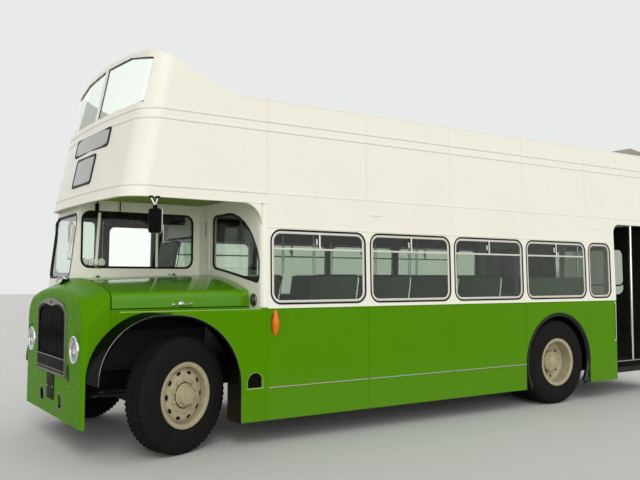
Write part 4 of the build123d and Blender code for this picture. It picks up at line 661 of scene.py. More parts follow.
class Form:
    """A mesh in the making, in millimetres of the shared frame."""

    def __init__(self) -> None:
        """Starts an empty mesh."""
        self.bm = bmesh.new()

    def skin(self, rings: Sequence[Sequence[Vector]], around: bool = True, along: bool = False, caps: bool = False,
             tint: int = 0) -> None:
        """Joins rings of points into faces.

        Args:
            rings: Rows of points, each as long as the next.
            around: Whether each row closes on itself.
            along: Whether the last row joins the first.
            caps: Whether the first and last rows are filled.
            tint: The index of the finish.
        """
        rows = [[self.bm.verts.new(p) for p in ring] for ring in rings]
        pairs = list(zip(rows, rows[1:]))
        if along:
            pairs.append((rows[-1], rows[0]))
        for low, high in pairs:
            count = len(low)
            for i in range(count if around else count - 1):
                j = (i + 1) % count
                self.bm.faces.new((low[i], low[j], high[j], high[i])).material_index = tint
        if caps:
            for row in (rows[0], rows[-1]):
                self.bm.faces.new(row).material_index = tint

    def lathe(self, profile: Sequence[Pair], centre: Triple, axis: Triple, steps: int = 32, tint: int = 0,
              closed: bool = False) -> None:
        """Turns a profile round an axis.

        Args:
            profile: Radius and distance along the axis.
            centre: Where the axis starts.
            axis: The axis' direction.
            steps: The number of steps round.
            tint: The index of the finish.
            closed: Whether the profile closes on itself.
        """
        ahead = Vector(axis).normalized()
        side = ahead.orthogonal().normalized()
        up = ahead.cross(side)
        rings = []
        for radius, reach in profile:
            middle = Vector(centre) + ahead * reach
            rings.append([middle + (side * math.cos(t) + up * math.sin(t)) * radius
                          for t in sweep(0, 360, steps)[:-1]])
        self.skin(rings, along=closed, tint=tint)

    def tube(self, path: Sequence[Any], radius: float, sides: int = 10, closed: bool = False, tint: int = 0) -> None:
        """Runs a round bar along a line.

        Args:
            path: The line's points.
            radius: The bar's radius in mm.
            sides: The number of sides.
            closed: Whether the line closes on itself.
            tint: The index of the finish.
        """
        points = [Vector(p) for p in path]
        last = len(points) - 1
        rings = []
        side = None
        for i, here in enumerate(points):
            ahead = points[(i + 1) % len(points)] if closed or i < last else here
            behind = points[i - 1] if closed or i > 0 else here
            along = (ahead - behind).normalized()
            side = along.orthogonal().normalized() if side is None else (side - along * side.dot(along)).normalized()
            up = along.cross(side)
            rings.append([here + (side * math.cos(t) + up * math.sin(t)) * radius
                          for t in sweep(0, 360, sides)[:-1]])
        self.skin(rings, along=closed, caps=not closed, tint=tint)

    def moulding(self, outline: Outline, section: Sequence[Pair], place: Placer,
                 closed: bool = True, tint: int = 0) -> None:
        """Runs a section, given as outward and proud distances, along an outline on the surface of the placer."""
        rings = [[place(a + u * na, b + u * nb, v) for u, v in section] for (a, b), (na, nb) in outline]
        self.skin(rings, along=closed, caps=not closed, tint=tint)

    def plate(self, outline: Outline, place: Placer, low: float, high: float,
              edge: float = 1.0, tint: int = 0) -> None:
        """Lays a thin plate on a surface.

        Args:
            outline: Points with their outward directions.
            place: Turns two surface sizes and a proud distance into a place.
            low: Proud distance of the foot.
            high: Proud distance of the face.
            edge: The rounding of the face's edge.
            tint: The index of the finish.
        """
        count = len(outline)
        mid_a = sum(p[0] for p, _ in outline) / count
        mid_b = sum(p[1] for p, _ in outline) / count
        rings = [[place(a, b, low) for (a, b), _ in outline],
                 [place(a, b, high - edge) for (a, b), _ in outline]]
        for share in (1.0, 0.75, 0.5, 0.25, 0.0):
            rings.append([place(mid_a + (a - edge * na - mid_a) * share, mid_b + (b - edge * nb - mid_b) * share, high)
                          for (a, b), (na, nb) in outline])
        self.skin(rings, tint=tint)

    def block(self, low: Triple, high: Triple, bevel: float = 2.0, tint: int = 0) -> None:
        """Adds a block with rounded edges.

        Args:
            low: The lowest corner.
            high: The highest corner.
            bevel: The edge radius in mm.
            tint: The index of the finish.
        """
        known = set(self.bm.faces)
        made = bmesh.ops.create_cube(self.bm, size=1.0)["verts"]
        for vert in made:
            vert.co = Vector([low[i] + (vert.co[i] + 0.5) * (high[i] - low[i]) for i in range(3)])
        edges = list({e for v in made for e in v.link_edges})
        bmesh.ops.bevel(self.bm, geom=edges, offset=bevel, segments=2, profile=0.5, affect="EDGES")
        for face in self.bm.faces:
            if face not in known:
                face.material_index = tint

    def nut(self, centre: Triple, axis: Triple, radius: float, rise: float, tint: int = 0) -> None:
        """Adds a hexagon nut on a round washer with its stud.

        Args:
            centre: The foot's middle.
            axis: The direction in which it stands.
            radius: The nut's corner radius.
            rise: The nut's height.
            tint: The index of the finish.
        """
        self.lathe([(radius * 1.3, 0), (radius * 1.3, 2), (radius, 3), (0, 3)], centre, axis, 16, tint)
        self.lathe([(radius, 0), (radius, rise - 2), (radius * 0.84, rise), (0, rise)], centre, axis, 6, tint)
        self.lathe([(radius * 0.45, 0), (radius * 0.45, rise + 5), (radius * 0.3, rise + 7), (0, rise + 7)], centre,
                   axis, 10, tint)

    def mesh(self, *finishes: Finish, smooth: float = 35.0) -> bpy.types.Mesh:
        """Closes the form into a mesh with its finishes.

        Args:
            finishes: The finishes by index.
            smooth: Edges sharper than this angle stay sharp.

        Returns:
            The mesh, in metres.
        """
        bmesh.ops.remove_doubles(self.bm, verts=self.bm.verts, dist=0.01)
        bmesh.ops.recalc_face_normals(self.bm, faces=self.bm.faces)
        bmesh.ops.scale(self.bm, vec=(MM, MM, MM), verts=self.bm.verts)
        mesh = bpy.data.meshes.new(finishes[0].name)
        self.bm.to_mesh(mesh)
        self.bm.free()
        for finish in finishes:
            mesh.materials.append(finish.make())
        mesh.shade_smooth()
        mesh.set_sharp_from_angle(angle=math.radians(smooth))
        return mesh


class Slot(Enum):
    """The record's material slots, named with the new pieces."""

    TYRE = "tyre_rubber"
    WINDOW = "window"
    WHEEL = "wheel_paint"
    CREAM = "cream_paint"
    GREEN = "green_paint"
    BLACK = "black_paint"
    ALLOY = "alloy"
    CLOTH = "seat_cloth"
    FLOOR = "floor_lino"
    PLATE = "plate"
    LENS = "lamp_lens"


class Ride(Enum):
    """The bodies that pieces move with."""

    BUS = "bus"
    LID = "bonnet_lid"
    FRONT_NEAR = "front_wheel_near"
    FRONT_OFF = "front_wheel_off"
    REAR_NEAR = "rear_wheels_near"
    REAR_OFF = "rear_wheels_off"


def settle(name: str, mesh: bpy.types.Mesh, slot: Slot, replaces: Sequence[str] = (), ride: Ride = Ride.BUS,
           at: Optional[Matrix] = None) -> bpy.types.Object:
    """Makes a piece of a mesh, places it, lets it ride and reports it.

    Args:
        name: The piece's name.
        mesh: Its mesh, which pieces may share.
        slot: Its material slot; not used.
        replaces: The CAD nodes that it stands for.
        ride: The body that it moves with.
        at: Where it goes, in metres.

    Returns:
        The piece.
    """
    piece = bpy.data.objects.new(name, mesh)
    bpy.context.scene.collection.objects.link(piece)
    if at:
        piece.matrix_world = at
    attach(piece, ride.value)
    if replaces:
        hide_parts(*replaces)
    LOG.info("%s rides on %s with %d faces", name, ride.value, len(mesh.polygons))
    return piece


# The body's surfaces


@dataclass(frozen=True)
class Hull:
    """The outer surfaces of the body, from the same sizes as the solids, in mm."""

    half: float = 1219.0
    waist: float = 1240.0
    tumble: float = 0.025
    front_deck: float = 3888.0
    deck: float = 2327.0
    rake: float = 0.2
    bow: float = 69.0
    rear: float = -4115.0
    rear_rake: float = 0.03
    rear_bow: float = 45.0
    front_corner: float = 216.0
    rear_corner: float = 210.0
    front_joint: float = 2490.0
    rear_joint: float = -2730.0
    cab_front: float = 3945.0
    cab_low: float = 1250.0
    cab_rake: float = 0.11
    cab_sweep: float = 60.0
    cab_near: float = -150.0
    bulkhead: float = 2555.0
    nose: float = 4115.0

    def side_y(self, z: float) -> float:
        """Gives the half width at a height."""
        return self.half - self.tumble * max(0.0, z - self.waist)

    def near(self, x: float, z: float, out: float) -> Vector:
        """Gives a place on the nearside wall."""
        return Vector((x, self.side_y(z) + out, z))

    def off(self, x: float, z: float, out: float) -> Vector:
        """Gives a place on the offside wall."""
        return Vector((x, -self.side_y(z) - out, z))

    def front(self, y: float, z: float, out: float) -> Vector:
        """Gives a place on the raked and bowed upper front, with its round corners.

        Args:
            y: Across the bus.
            z: The height.
            out: How far it stands proud.

        Returns:
            The place.
        """
        half, corner = self.side_y(z), self.front_corner
        big = (half ** 2 + self.bow ** 2) / (2 * self.bow)
        run = math.sqrt((big - corner) ** 2 - (half - corner) ** 2)
        start = half - corner + corner * (half - corner) / (big - corner)
        if abs(y) < start:
            reach = math.sqrt(big ** 2 - y ** 2) - big
        else:
            reach = run - big + math.sqrt(max(0.0, corner ** 2 - (abs(y) - half + corner) ** 2))
        return Vector((self.front_deck - self.rake * (z - self.deck) + reach + out, y, z))

    def back(self, y: float, z: float, out: float) -> Vector:
        """Gives a place on the bowed rear, as for the front."""
        big = (self.half ** 2 + self.rear_bow ** 2) / (2 * self.rear_bow)
        return Vector((self.rear + self.rear_rake * max(0.0, z - self.waist) + big - math.sqrt(big ** 2 - y ** 2) - out,
                       y, z))

    def screen(self, y: float, z: float, out: float) -> Vector:
        """Gives a place on the swept front of the cab."""
        sweep_back = self.cab_sweep * (self.cab_near - y) / (self.cab_near + self.side_y(z))
        return Vector((self.cab_front - self.cab_rake * (z - self.cab_low) - sweep_back + out, y, z))

    def cab_wall(self, x: float, z: float, out: float) -> Vector:
        """Gives a place on the cab's inner side wall, over the bonnet."""
        return Vector((x, self.cab_near + out, z))

    def wall(self, y: float, z: float, out: float) -> Vector:
        """Gives a place on the bulkhead behind the bonnet."""
        return Vector((self.bulkhead + out, y, z))

    def nose_face(self, y: float, z: float, out: float) -> Vector:
        """Gives a place on the flat front of the nose."""
        return Vector((self.nose + out, y, z))

    def wrap(self, z: float, front: bool) -> tuple[Outline, Placer]:
        """Gives the plan of the front or rear at a height, from joint to joint, and its placer.

        Args:
            z: The height.
            front: Whether it is the front or the rear.

        Returns:
            The line with outward directions, and what places its across, ahead and up.
        """
        sense = 1.0 if front else -1.0
        tip = self.front(0.0, z, 0.0).x if front else self.back(0.0, z, 0.0).x
        joint, bow, corner = ((self.front_joint, self.bow, self.front_corner) if front else
                              (self.rear_joint, self.rear_bow, self.rear_corner))
        half = self.side_y(z)
        start = (joint - tip) * sense
        line = [((half, start), (1.0, 0.0))] + bowed(half, bow, corner) + [((-half, start), (-1.0, 0.0))]
        return line, lambda a, b, v: Vector((tip + sense * b, a, z + v))


HULL = Hull()

# The axles' places along the bus
AXLE_F = 3370.0
AXLE_R = -1608.0


# Wheels


@dataclass
class RoadWheel:
    """Tyres with a grooved tread, and the nuts, caps and rings on the wheels."""

    tyre_r: float = 505.0
    pitches: int = 64
    stud_r: float = 137.0
    studs: int = 10
    steer_deg: float = 20.0
    kingpin_y: float = 905.0
    stub: float = 165.0
    outer_y: float = 1072.0
    inner_y: float = 780.0
    rim_ring: tuple[Pair, ...] = ((272, 108), (276, 116), (284, 118), (287, 113), (284, 109))

    def tread_line(self, notch: bool) -> list[Pair]:
        """Gives the tyre's half section from bead to middle.

        Args:
            notch: Whether the section runs through the shoulder's notch.

        Returns:
            Radius and distance from the middle.
        """
        cut = 9.0 if notch else 0.0
        wall = [(262, 100), (286, 108), (290, 113), (297, 115), (301, 113), (322, 119), (350, 124), (384, 125),
                (392, 124), (398, 125), (420, 123), (446, 116.5), (452, 115), (464, 110), (478, 104)]
        shoulder = [(490 - cut / 2, 99 - cut / 3), (500 - cut, 93 - cut / 2), (503 - cut, 86), (503.5 - cut, 64)]
        grooves = [(503.6, 62), (492, 60), (492, 54), (504, 52), (504.6, 24), (493, 22), (493, 15), (504.8, 13),
                   (505, 0)]
        return wall + shoulder + grooves

    def tyre(self) -> bpy.types.Mesh:
        """Turns the tyre round Y, with blocks cut into its shoulders.

        Returns:
            The tyre, with its middle at the origin.
        """
        form = Form()
        columns = []
        # Each block has a high edge, the two edges of its notch, drawn together, and a high edge.
        edges = ((False, 0.0), (True, -0.28), (True, 0.28), (False, 0.0))
        count = self.pitches * len(edges)
        for i in range(count):
            notch, shift = edges[i % len(edges)]
            line = self.tread_line(notch)
            ring = []
            for r, y in line + [(r, -y) for r, y in reversed(line[:-1])]:
                lag = math.pi / self.pitches if y < -63 and r > 480 else 0.0
                turn = 2 * math.pi * (i + shift) / count + lag
                ring.append(Vector((r * math.cos(turn), y, r * math.sin(turn))))
            columns.append(ring)
        form.skin(columns, around=False, along=True)
        return form.mesh(Finishes.rubber, smooth=28)

    def nuts(self, form: Form, shift: float, circle: float, foot: float, radius: float, rise: float) -> None:
        """Sets a ring of nuts round the wheel's middle.

        Args:
            form: The mesh that takes them.
            shift: How far the first stands from the top hole, as a share of the step.
            circle: The radius of their ring.
            foot: How far out they stand.
            radius: A nut's corner radius.
            rise: A nut's height.
        """
        for i in range(self.studs):
            turn = 2 * math.pi * (i + shift) / self.studs
            form.nut((circle * math.cos(turn), foot, circle * math.sin(turn)), NEARSIDE, radius, rise)

    def front_dress(self) -> bpy.types.Mesh:
        """Builds the front wheel's nuts, hub flange, cap, rim rings and rimmed hand holes, with its outside to +Y; its
        black rings and hole fills are painted shade.

        Returns:
            The piece, with the wheel's middle at the origin.
        """
        form = Form()
        form.lathe(self.rim_ring, ORIGIN, NEARSIDE, 72, closed=True)
        form.lathe([(256, 98), (259, 104), (263, 104), (264, 98)], ORIGIN, NEARSIDE, 72, closed=True)
        # Black rings in the rim's groove and round the hub flange: painted shade.
        form.lathe([(264.5, 97), (265, 101.5), (271, 101.5), (272, 97)], ORIGIN, NEARSIDE, 72, tint=1)
        form.lathe([(104.5, 92.5), (113, 93.2), (113, 92)], ORIGIN, NEARSIDE, 48, tint=1)
        form.lathe([(104, 92), (104, 99), (98, 104), (84, 106), (80, 112), (78, 137), (74, 142), (60, 144), (40, 144),
                    (36, 147), (0, 148)], ORIGIN, NEARSIDE, 48)
        self.nuts(form, 0.5, self.stud_r, 92, 17, 20)
        self.nuts(form, 0.0, 92, 104, 6.5, 6)
        self.nuts(form, 0.0, 55, 143, 5, 4)
        for turn in sweep(0, 360, self.studs)[:-1]:
            ahead = Vector((math.cos(turn), 0.0, math.sin(turn)))
            across = Vector((-ahead.z, 0.0, ahead.x))
            middle = ahead * 198 + Vector((0, 83, 0))
            rim = [middle + ahead * 18 * math.cos(t) + across * 29 * math.sin(t) - Vector((0, 2.9 * math.cos(t), 0))
                   for t in sweep(0, 360, 20)[:-1]]
            form.tube(rim, 3.2, 6, closed=True)
            # A black fill in each hand hole: painted shade of the hole.
            form.skin([rim] + [[middle + (spot - middle) * share + Vector((0, 1.2, 0)) for spot in rim]
                               for share in (0.5, 0.02)], tint=1)
        return form.mesh(Finishes.wheel, Finishes.chassis)

    def rear_dress(self) -> bpy.types.Mesh:
        """Builds the outer rear wheel's nuts, half-shaft flange and rim ring, with its outside to +Y.

        Returns:
            The piece, with the outer wheel's middle at the origin.
        """
        form = Form()
        form.lathe(self.rim_ring, ORIGIN, NEARSIDE, 72, closed=True)
        form.lathe([(113, 2), (122, 4), (122, 16), (118, 20), (108, 22), (104, 30), (70, 34), (66, 44), (40, 46),
                    (0, 48)], ORIGIN, NEARSIDE, 48)
        self.nuts(form, 0.5, self.stud_r, -62, 17, 34)
        self.nuts(form, 0.5, 88, 31, 8, 9)
        return form.mesh(Finishes.wheel)

    def build(self) -> None:
        """Sets the tyres and dress on all the wheels."""
        tyre, front, rear = self.tyre(), self.front_dress(), self.rear_dress()
        steered = tyre.copy()
        steer = Matrix.Rotation(math.radians(self.steer_deg), 4, "Z")
        for mesh in (steered, front):
            mesh.transform(steer)
        facing = {1: Matrix.Identity(4), -1: Matrix.Rotation(math.pi, 4, "Z")}
        for sign, end, ride in ((1, "near", Ride.FRONT_NEAR), (-1, "off", Ride.FRONT_OFF)):
            middle = Vector((AXLE_F, sign * self.kingpin_y, self.tyre_r)) + steer @ Vector((0, sign * self.stub, 0))
            at = Matrix.Translation(middle * MM) @ facing[sign]
            settle(f"tyre_front_{end}", steered, Slot.TYRE, [f"front_tyre_{end}"], ride, at)
            settle(f"wheel_dress_front_{end}", front, Slot.WHEEL, ride=ride, at=at)
        for sign, end, ride in ((1, "near", Ride.REAR_NEAR), (-1, "off", Ride.REAR_OFF)):
            for side, y in (("inner", self.inner_y), ("outer", self.outer_y)):
                at = Matrix.Translation(Vector((AXLE_R, sign * y, self.tyre_r)) * MM) @ facing[sign]
                settle(f"tyre_rear_{end}_{side}", tyre, Slot.TYRE, [f"rear_tyres_{end}"], ride, at)
            settle(f"wheel_dress_rear_{end}", rear, Slot.WHEEL, ride=ride, at=at)


# Windows and seals


@dataclass
class Glazing:
    """Rubber seals round every pane, bars and catches of the sliding lights, and the blank sign faces."""

    windows: tuple[Pair, ...] = ((1362, 2450), (194, 1282), (-974, 114), (-2142, -1054), (-2650, -2222))
    sill: float = 1287.0
    head: float = 1966.0
    corner: float = 100.0
    seal: tuple[Pair, ...] = ((-2, -9), (-2, 1.5), (3, 4), (12, 4), (15, 1), (15, -9))
    thin: tuple[Pair, ...] = ((-10, -8), (-10, 1.5), (-6, 4), (9, 4), (12, 1), (12, -8))
    slide: tuple[Pair, ...] = ((-13, -13), (-13, -4), (-9, -2), (7, -2), (11, -4), (11, -13))
    rail: tuple[Pair, ...] = ((-9, -12), (-9, -1.5), (-6, 0.5), (6, 0.5), (9, -1.5), (9, -12))
    rail_z: float = 1796.0
    signs: tuple[Box, ...] = ((-480, 520, 2735, 2905), (-316, 261, 2406, 2683))

    def saloon(self) -> None:
        """Runs the rubber round the saloon windows and adds the bars of the sliding lights."""
        for name, place in (("near", HULL.near), ("off", HULL.off)):
            form = Form()
            for x0, x1 in self.windows:
                form.moulding(rectangle(x0, x1, self.sill, self.head, self.corner), self.seal, place)
                inner = rectangle(x0 + 13, x1 - 13, self.sill + 13, self.head - 13, self.corner - 13)
                form.moulding(inner, self.slide, place, tint=1)
            for x0, x1 in self.windows[:-1]:
                mid = (x0 + x1) / 2
                line = [((x, self.rail_z), (0.0, 1.0)) for x in (x0 + 12, mid, x1 - 12)]
                form.moulding(line, self.rail, place, closed=False, tint=1)
                up = [((mid, z), (1.0, 0.0)) for z in (1800.0, 1880.0, 1954.0)]
                form.moulding(up, self.rail, place, closed=False, tint=1)
                up = [((mid + 13, z), (1.0, 0.0)) for z in (1802.0, 1880.0, 1953.0)]
                form.moulding(up, ((-3, -12), (-3, -3), (3, -3), (3, -12)), place, closed=False)
                form.plate(rectangle(mid + 24, mid + 40, 1840, 1900, 6), place, -10, -4, 1.5, tint=1)
            settle(f"saloon_window_seals_{name}", form.mesh(Finishes.seal, Finishes.frame_alloy), Slot.WINDOW)

    def front(self) -> None:
        """Runs the rubber round the cab's and bulkhead's panes, the front screens and the rear window."""
        form = Form()
        form.moulding(rectangle(-1120, -200, 1520, 2150, 80), self.thin, HULL.screen)
        form.moulding(rectangle(2639, 3810, 1623, 2171, 80), self.thin, HULL.cab_wall)
        form.moulding(rectangle(3350, 3780, 1560, 2150, 60), self.thin, HULL.off)
        form.moulding(rectangle(-1060, -280, 1330, 1960, 80), self.thin, HULL.wall)
        low = arc_through((1153, 1478), (700, 1553), (192, 1625))
        high = arc_through((400, 2152), (930, 2005), (1153, 1690))
        form.moulding(filleted([(192, 1625), (192, 2152)] + high + low[:-1], 60), self.thin, HULL.wall)
        for sign in (-1, 1):
            opening = [(sign * y, z) for y, z in ((33, 3050), (1070, 3050), (1070, 3457), (620, 3544), (33, 3564))]
            form.moulding(filleted(opening, 16), ((-14, -24), (-14, -12), (-9, -8), (-1, -8), (-1, -24)),
                          HULL.front)
        form.moulding(rectangle(-820, 420, 1420, 1960, 80), self.thin, HULL.back)
        settle("pane_seals_front", form.mesh(Finishes.seal), Slot.WINDOW)

    def sign_faces(self) -> None:
        """Covers the destination glasses with blank pale faces in black rubber."""
        form = Form()
        for y0, y1, z0, z1 in self.signs:
            rows = [[HULL.front(y0 + 7 + (y1 - y0 - 14) * i / 12, z0 + 7 + (z1 - z0 - 14) * k / 4, 7)
                     for i in range(13)] for k in range(5)]
            form.skin(rows, around=False, tint=1)
            outline = rectangle(y0, y1, z0, z1, 30)
            form.moulding(outline, ((-20, 0), (-20, 7), (-13, 10.5), (5, 10.5), (10, 6), (10, 0)), HULL.front)
        settle("sign_faces", form.mesh(Finishes.seal, Finishes.blind), Slot.PLATE)

    def build(self) -> None:
        """Builds all seals and faces."""
        self.saloon()
        self.front()
        self.sign_faces()


# Nose and bonnet


@dataclass
class Nose:
    """Headlamps, grille dress, towing rims and small fittings of the nose."""

    lamp_y: float = 733.0
    lamp_z: float = 903.0
    tow_y: float = 300.0
    tow_z: float = 411.0
    tow_r: float = 64.0
    grille_half: float = 480.0
    grille_low: float = 640.0
    grille_top: float = 1323.0
    arch: float = 70.0
    arch_r: float = 130.0
    mesh_low: float = 795.0
    filler: Triple = (3985.0, -60.0, 1460.0)
    screws: tuple[Pair, ...] = ((545, 1345), (540, 1090), (590, 780), (545, 570), (500, 290), (860, 620), (860, 1180))
    plate_screws: tuple[Pair, ...] = ((-90, 512), (90, 512))
    handle: Triple = (3248.0, 980.65, 1283.0)
    lid_edge: tuple[Triple, ...] = ((2566, 977, 1262), (3225, 982, 1262), (3879, 986, 1262))
    ear_x: float = 2415.0
    ear: Box = (40.0, 45.0, 985.0, 1229.0)
    duct: Box = (556.0, 692.0, 50.0, 77.0)
    step_hole: Box = (2620.0, 80.0, 521.0, 581.0)

    def headlamps(self) -> None:
        """Builds the bezels, reflectors and fluted glasses, and the ear indicators with them."""
        form = Form()
        for sign in (-1, 1):
            at = (HULL.nose, sign * self.lamp_y, self.lamp_z)
            bezel = [(96, 2), (99, 9), (104, 14), (111, 16), (117, 14), (121, 9), (122, 2), (122, -4), (112, -6),
                     (112, -112), (96, -112)]
            form.lathe(bezel, at, AHEAD, 56, closed=True)
            bowl = [(97, 2), (94, -16), (84, -42), (64, -66), (36, -82), (14, -88), (0, -88)]
            form.lathe(bowl, at, AHEAD, 48)
            lens = [(98, 1), (98, 4), (92, 7), (76, 10), (54, 12.5), (28, 14), (0, 14.5)]
            form.lathe(lens, at, AHEAD, 48, tint=1)
            form.lathe([(10, -88), (10, -52), (7, -44), (0, -42)], at, AHEAD, 16, tint=1)
            form.nut((HULL.nose + 2, sign * self.lamp_y, self.lamp_z - 112), (1, 0, -0.2), 5, 3)
            brow = [(HULL.nose + 3, sign * (self.lamp_y + 8 + 148 * math.cos(t)), self.lamp_z + 148 * math.sin(t))
                    for t in sweep(100, 30, 12)]
            form.tube(brow, 6.5, 8, tint=4)
        for place in (HULL.near, HULL.off):
            self.ear_lamp(form, place)
        finishes = (Finishes.chrome, Finishes.lamp_glass, Finishes.amber, Finishes.seal, Finishes.green)
        settle("headlamps_and_ears", form.mesh(*finishes), Slot.LENS, ["lamps"])

    def ear_lamp(self, form: Form, place: Placer) -> None:
        """Builds one ear indicator: a leaf-shaped amber lens on a dark foot.

        Args:
            form: The mesh that takes it.
            place: The wall that carries it.
        """
        half, out, low, high = self.ear
        mid = self.ear_x
        rings = []
        for k in range(21):
            t = k / 20
            z = low + 3 + (high - low - 6) * t
            swell = math.sin(math.pi * (0.03 + 0.94 * t ** 0.92)) ** 0.6
            rings.append([place(mid + (half - 4) * swell * math.cos(a), z, out * swell * max(0.0, math.sin(a)))
                          for a in sweep(0, 180, 14)])
        form.skin(rings, around=False, tint=2)
        form.skin([[ring[0], ring[-1]] for ring in rings], around=False, tint=3)
        foot = [place(mid, z, 0) for z in (low, high)]
        line = filleted([(mid - half, foot[0].z + 60), (mid, foot[0].z), (mid + half, foot[0].z + 60),
                         (mid + half, foot[1].z - 60), (mid, foot[1].z), (mid - half, foot[1].z - 60)], 60)
        form.plate(line, place, -1, 3.5, 1, tint=3)

    def arch_line(self) -> Outline:
        """Gives the grille's arched outline, open at the foot.

        Returns:
            Points with their outward directions.
        """
        half, foot = self.grille_half, self.grille_low
        line = [((a, self.grille_top + b), turn) for (a, b), turn in bowed(half, self.arch, self.arch_r)]
        return [((half, foot), (1.0, 0.0))] + line + [((-half, foot), (-1.0, 0.0))]

    def grille(self) -> None:
        """Adds the lip, the wide arched band with its dip, the bars, the upright wires and the radiator behind."""
        form = Form()
        lip = ((-10, 4), (-10, 12.5), (-8, 14.5), (-2, 14.5), (1.5, 11), (1.5, -2))
        form.moulding(self.arch_line(), lip, HULL.nose_face, closed=False)
        foot = [((y, self.grille_low), (0.0, -1.0)) for y in (-self.grille_half, 0.0, self.grille_half)]
        form.moulding(foot, lip, HULL.nose_face, closed=False)
        band = []
        for (y, z), (out_y, out_z) in self.arch_line()[2:-2]:
            share = min(1.0, abs(y) / 241.0)
            edge = 1257 + 20 * math.sin(math.pi / 2 * share) ** 2 - 45 * (max(0.0, abs(y) - 241) / 199) ** 2
            if abs(y) > 446:
                continue
            inner, low = (y - 6 * out_y, z - 6 * out_z), (y, min(edge, z - 12))
            band.append([HULL.nose_face(*spot, out) for spot, out in ((inner, 9), (inner, 13), (low, 13), (low, 9))])
        form.skin(band, caps=True)
        bars = ((self.mesh_low - 3, 4.5, 14), (683, 3.5, 13), (656, 3.0, 13))
        for z, rise, out in bars:
            line = [((y, z), (0.0, 1.0)) for y in (-466.0, 0.0, 466.0)]
            form.moulding(line, ((-rise, 6), (-rise, out - 1.5), (-rise + 2, out), (rise - 2, out),
                                 (rise, out - 1.5), (rise, 6)), HULL.nose_face, closed=False)
        form.plate(rectangle(-458, 458, 692, 784, 6), HULL.nose_face, 6, 11.5, 1.5, tint=1)
        badge = [(22 * math.cos(t), 1292 + 17 * math.sin(t)) for t in sweep(0, 360, 16)[:-1]]
        form.plate(filleted(badge, 4, 1), HULL.nose_face, 9, 15.5, 2, tint=2)
        form.plate(rectangle(-452, 452, 655, 1290, 20), HULL.nose_face, -90, -62, 4, tint=2)
        for i in range(46):
            y = -441 + 882 * i / 45
            form.plate(rectangle(y - 2, y + 2, 690, 1262, 1.5), HULL.nose_face, -64, -57, 1, tint=1)
        for i in range(60):
            y = -434 + 868 * i / 59
            high = min(1278 - 36 * (y / 440) ** 2, 1232 + 60 * (1 - abs(y) / 440))
            form.tube([(HULL.nose - 4, y, self.mesh_low), (HULL.nose + 1, y, 1000), (HULL.nose - 4, y, high)], 1.9, 5,
                      tint=2)
        settle("grille_dress", form.mesh(Finishes.dull_alloy, Finishes.chassis, Finishes.plastic), Slot.ALLOY)

    def apertures(self) -> None:
        """Rims the towing holes, the air duct and the step hole, with black plates in and behind them that paint their
        shade, and a pale green rim and foot strip on the step hole that paint its highlight.
        """
        form = Form()
        for sign in (-1, 1):
            line = dee(sign * self.tow_y, self.tow_z - 66, self.tow_z, self.tow_r, 10)
            form.moulding(line, ((-1, -14), (-1, 2), (2, 5), (9, 5), (13, 1), (13, -2)), HULL.nose_face)
            # A black plate behind each towing hole: painted shade.
            form.plate(line, HULL.nose_face, -30, -16, 1, tint=2)
        y0, z0, half, tall = self.duct
        line = filleted([(y0 + half * math.cos(t), z0 + tall * math.sin(t)) for t in sweep(0, 360, 32)[:-1]], 4, 1)
        form.moulding(line, ((-2, -2), (-2, 2), (1, 4), (4, 3), (5, -1)), HULL.nose_face, tint=1)
        # A black plate in the duct: painted shade.
        form.plate(line, HULL.nose_face, 0.2, 1.6, 0.6, tint=2)
        x0, radius, foot, mid = self.step_hole
        line = dee(x0, foot, mid, radius, 6)
        # Pale rim and foot strip: painted highlight; black plate behind: painted shade.
        form.moulding(line, ((-2, -22), (-2, 2.5), (-0.5, 4), (2, 4), (3.5, 0)), HULL.near, tint=3)
        form.plate(rectangle(x0 - radius - 9, x0 + radius + 9, foot - 9, foot + 3, 2), HULL.near, -1, 5, 1.5, tint=3)
        form.plate(line, HULL.near, -40, -28, 1, tint=2)
        settle("opening_rims", form.mesh(Finishes.dull_alloy, Finishes.green, Finishes.plastic, Finishes.edge),
               Slot.GREEN)

    def fittings(self) -> None:
        """Adds the nose's screws, whose pale heads are painted highlights, the filler cap with its lever and the
        plate's screws.
        """
        form = Form()
        # The screws' pale heads: painted highlights.
        for sign in (-1, 1):
            for y, z in self.screws:
                form.lathe([(7, 0), (6.5, 2), (4, 3.5), (0, 4)], (HULL.nose, sign * y, z), AHEAD, 14, tint=2)
        form.lathe([(50, -8), (50, 12), (40, 20), (34, 22), (34, 42)], self.filler, UP, 32, tint=1)
        form.lathe([(34, 40), (44, 44), (46, 54), (36, 62), (0, 66)], self.filler, UP, 32)
        form.tube(bent([(3985, -112, 1500), (4018, -104, 1530), (4018, -16, 1530), (3985, -8, 1500)], 14), 6)
        form.tube(bent([(3990, -60, 1522), (4030, -50, 1528), (4062, -42, 1506), (4080, -38, 1478)], 24), 9)
        for y, z in self.plate_screws:
            form.lathe([(6, 0), (5, 2), (0, 2.6)], (HULL.nose + 8, y, z), AHEAD, 12)
        settle("nose_fittings", form.mesh(Finishes.chrome, Finishes.plastic, Finishes.edge), Slot.ALLOY)

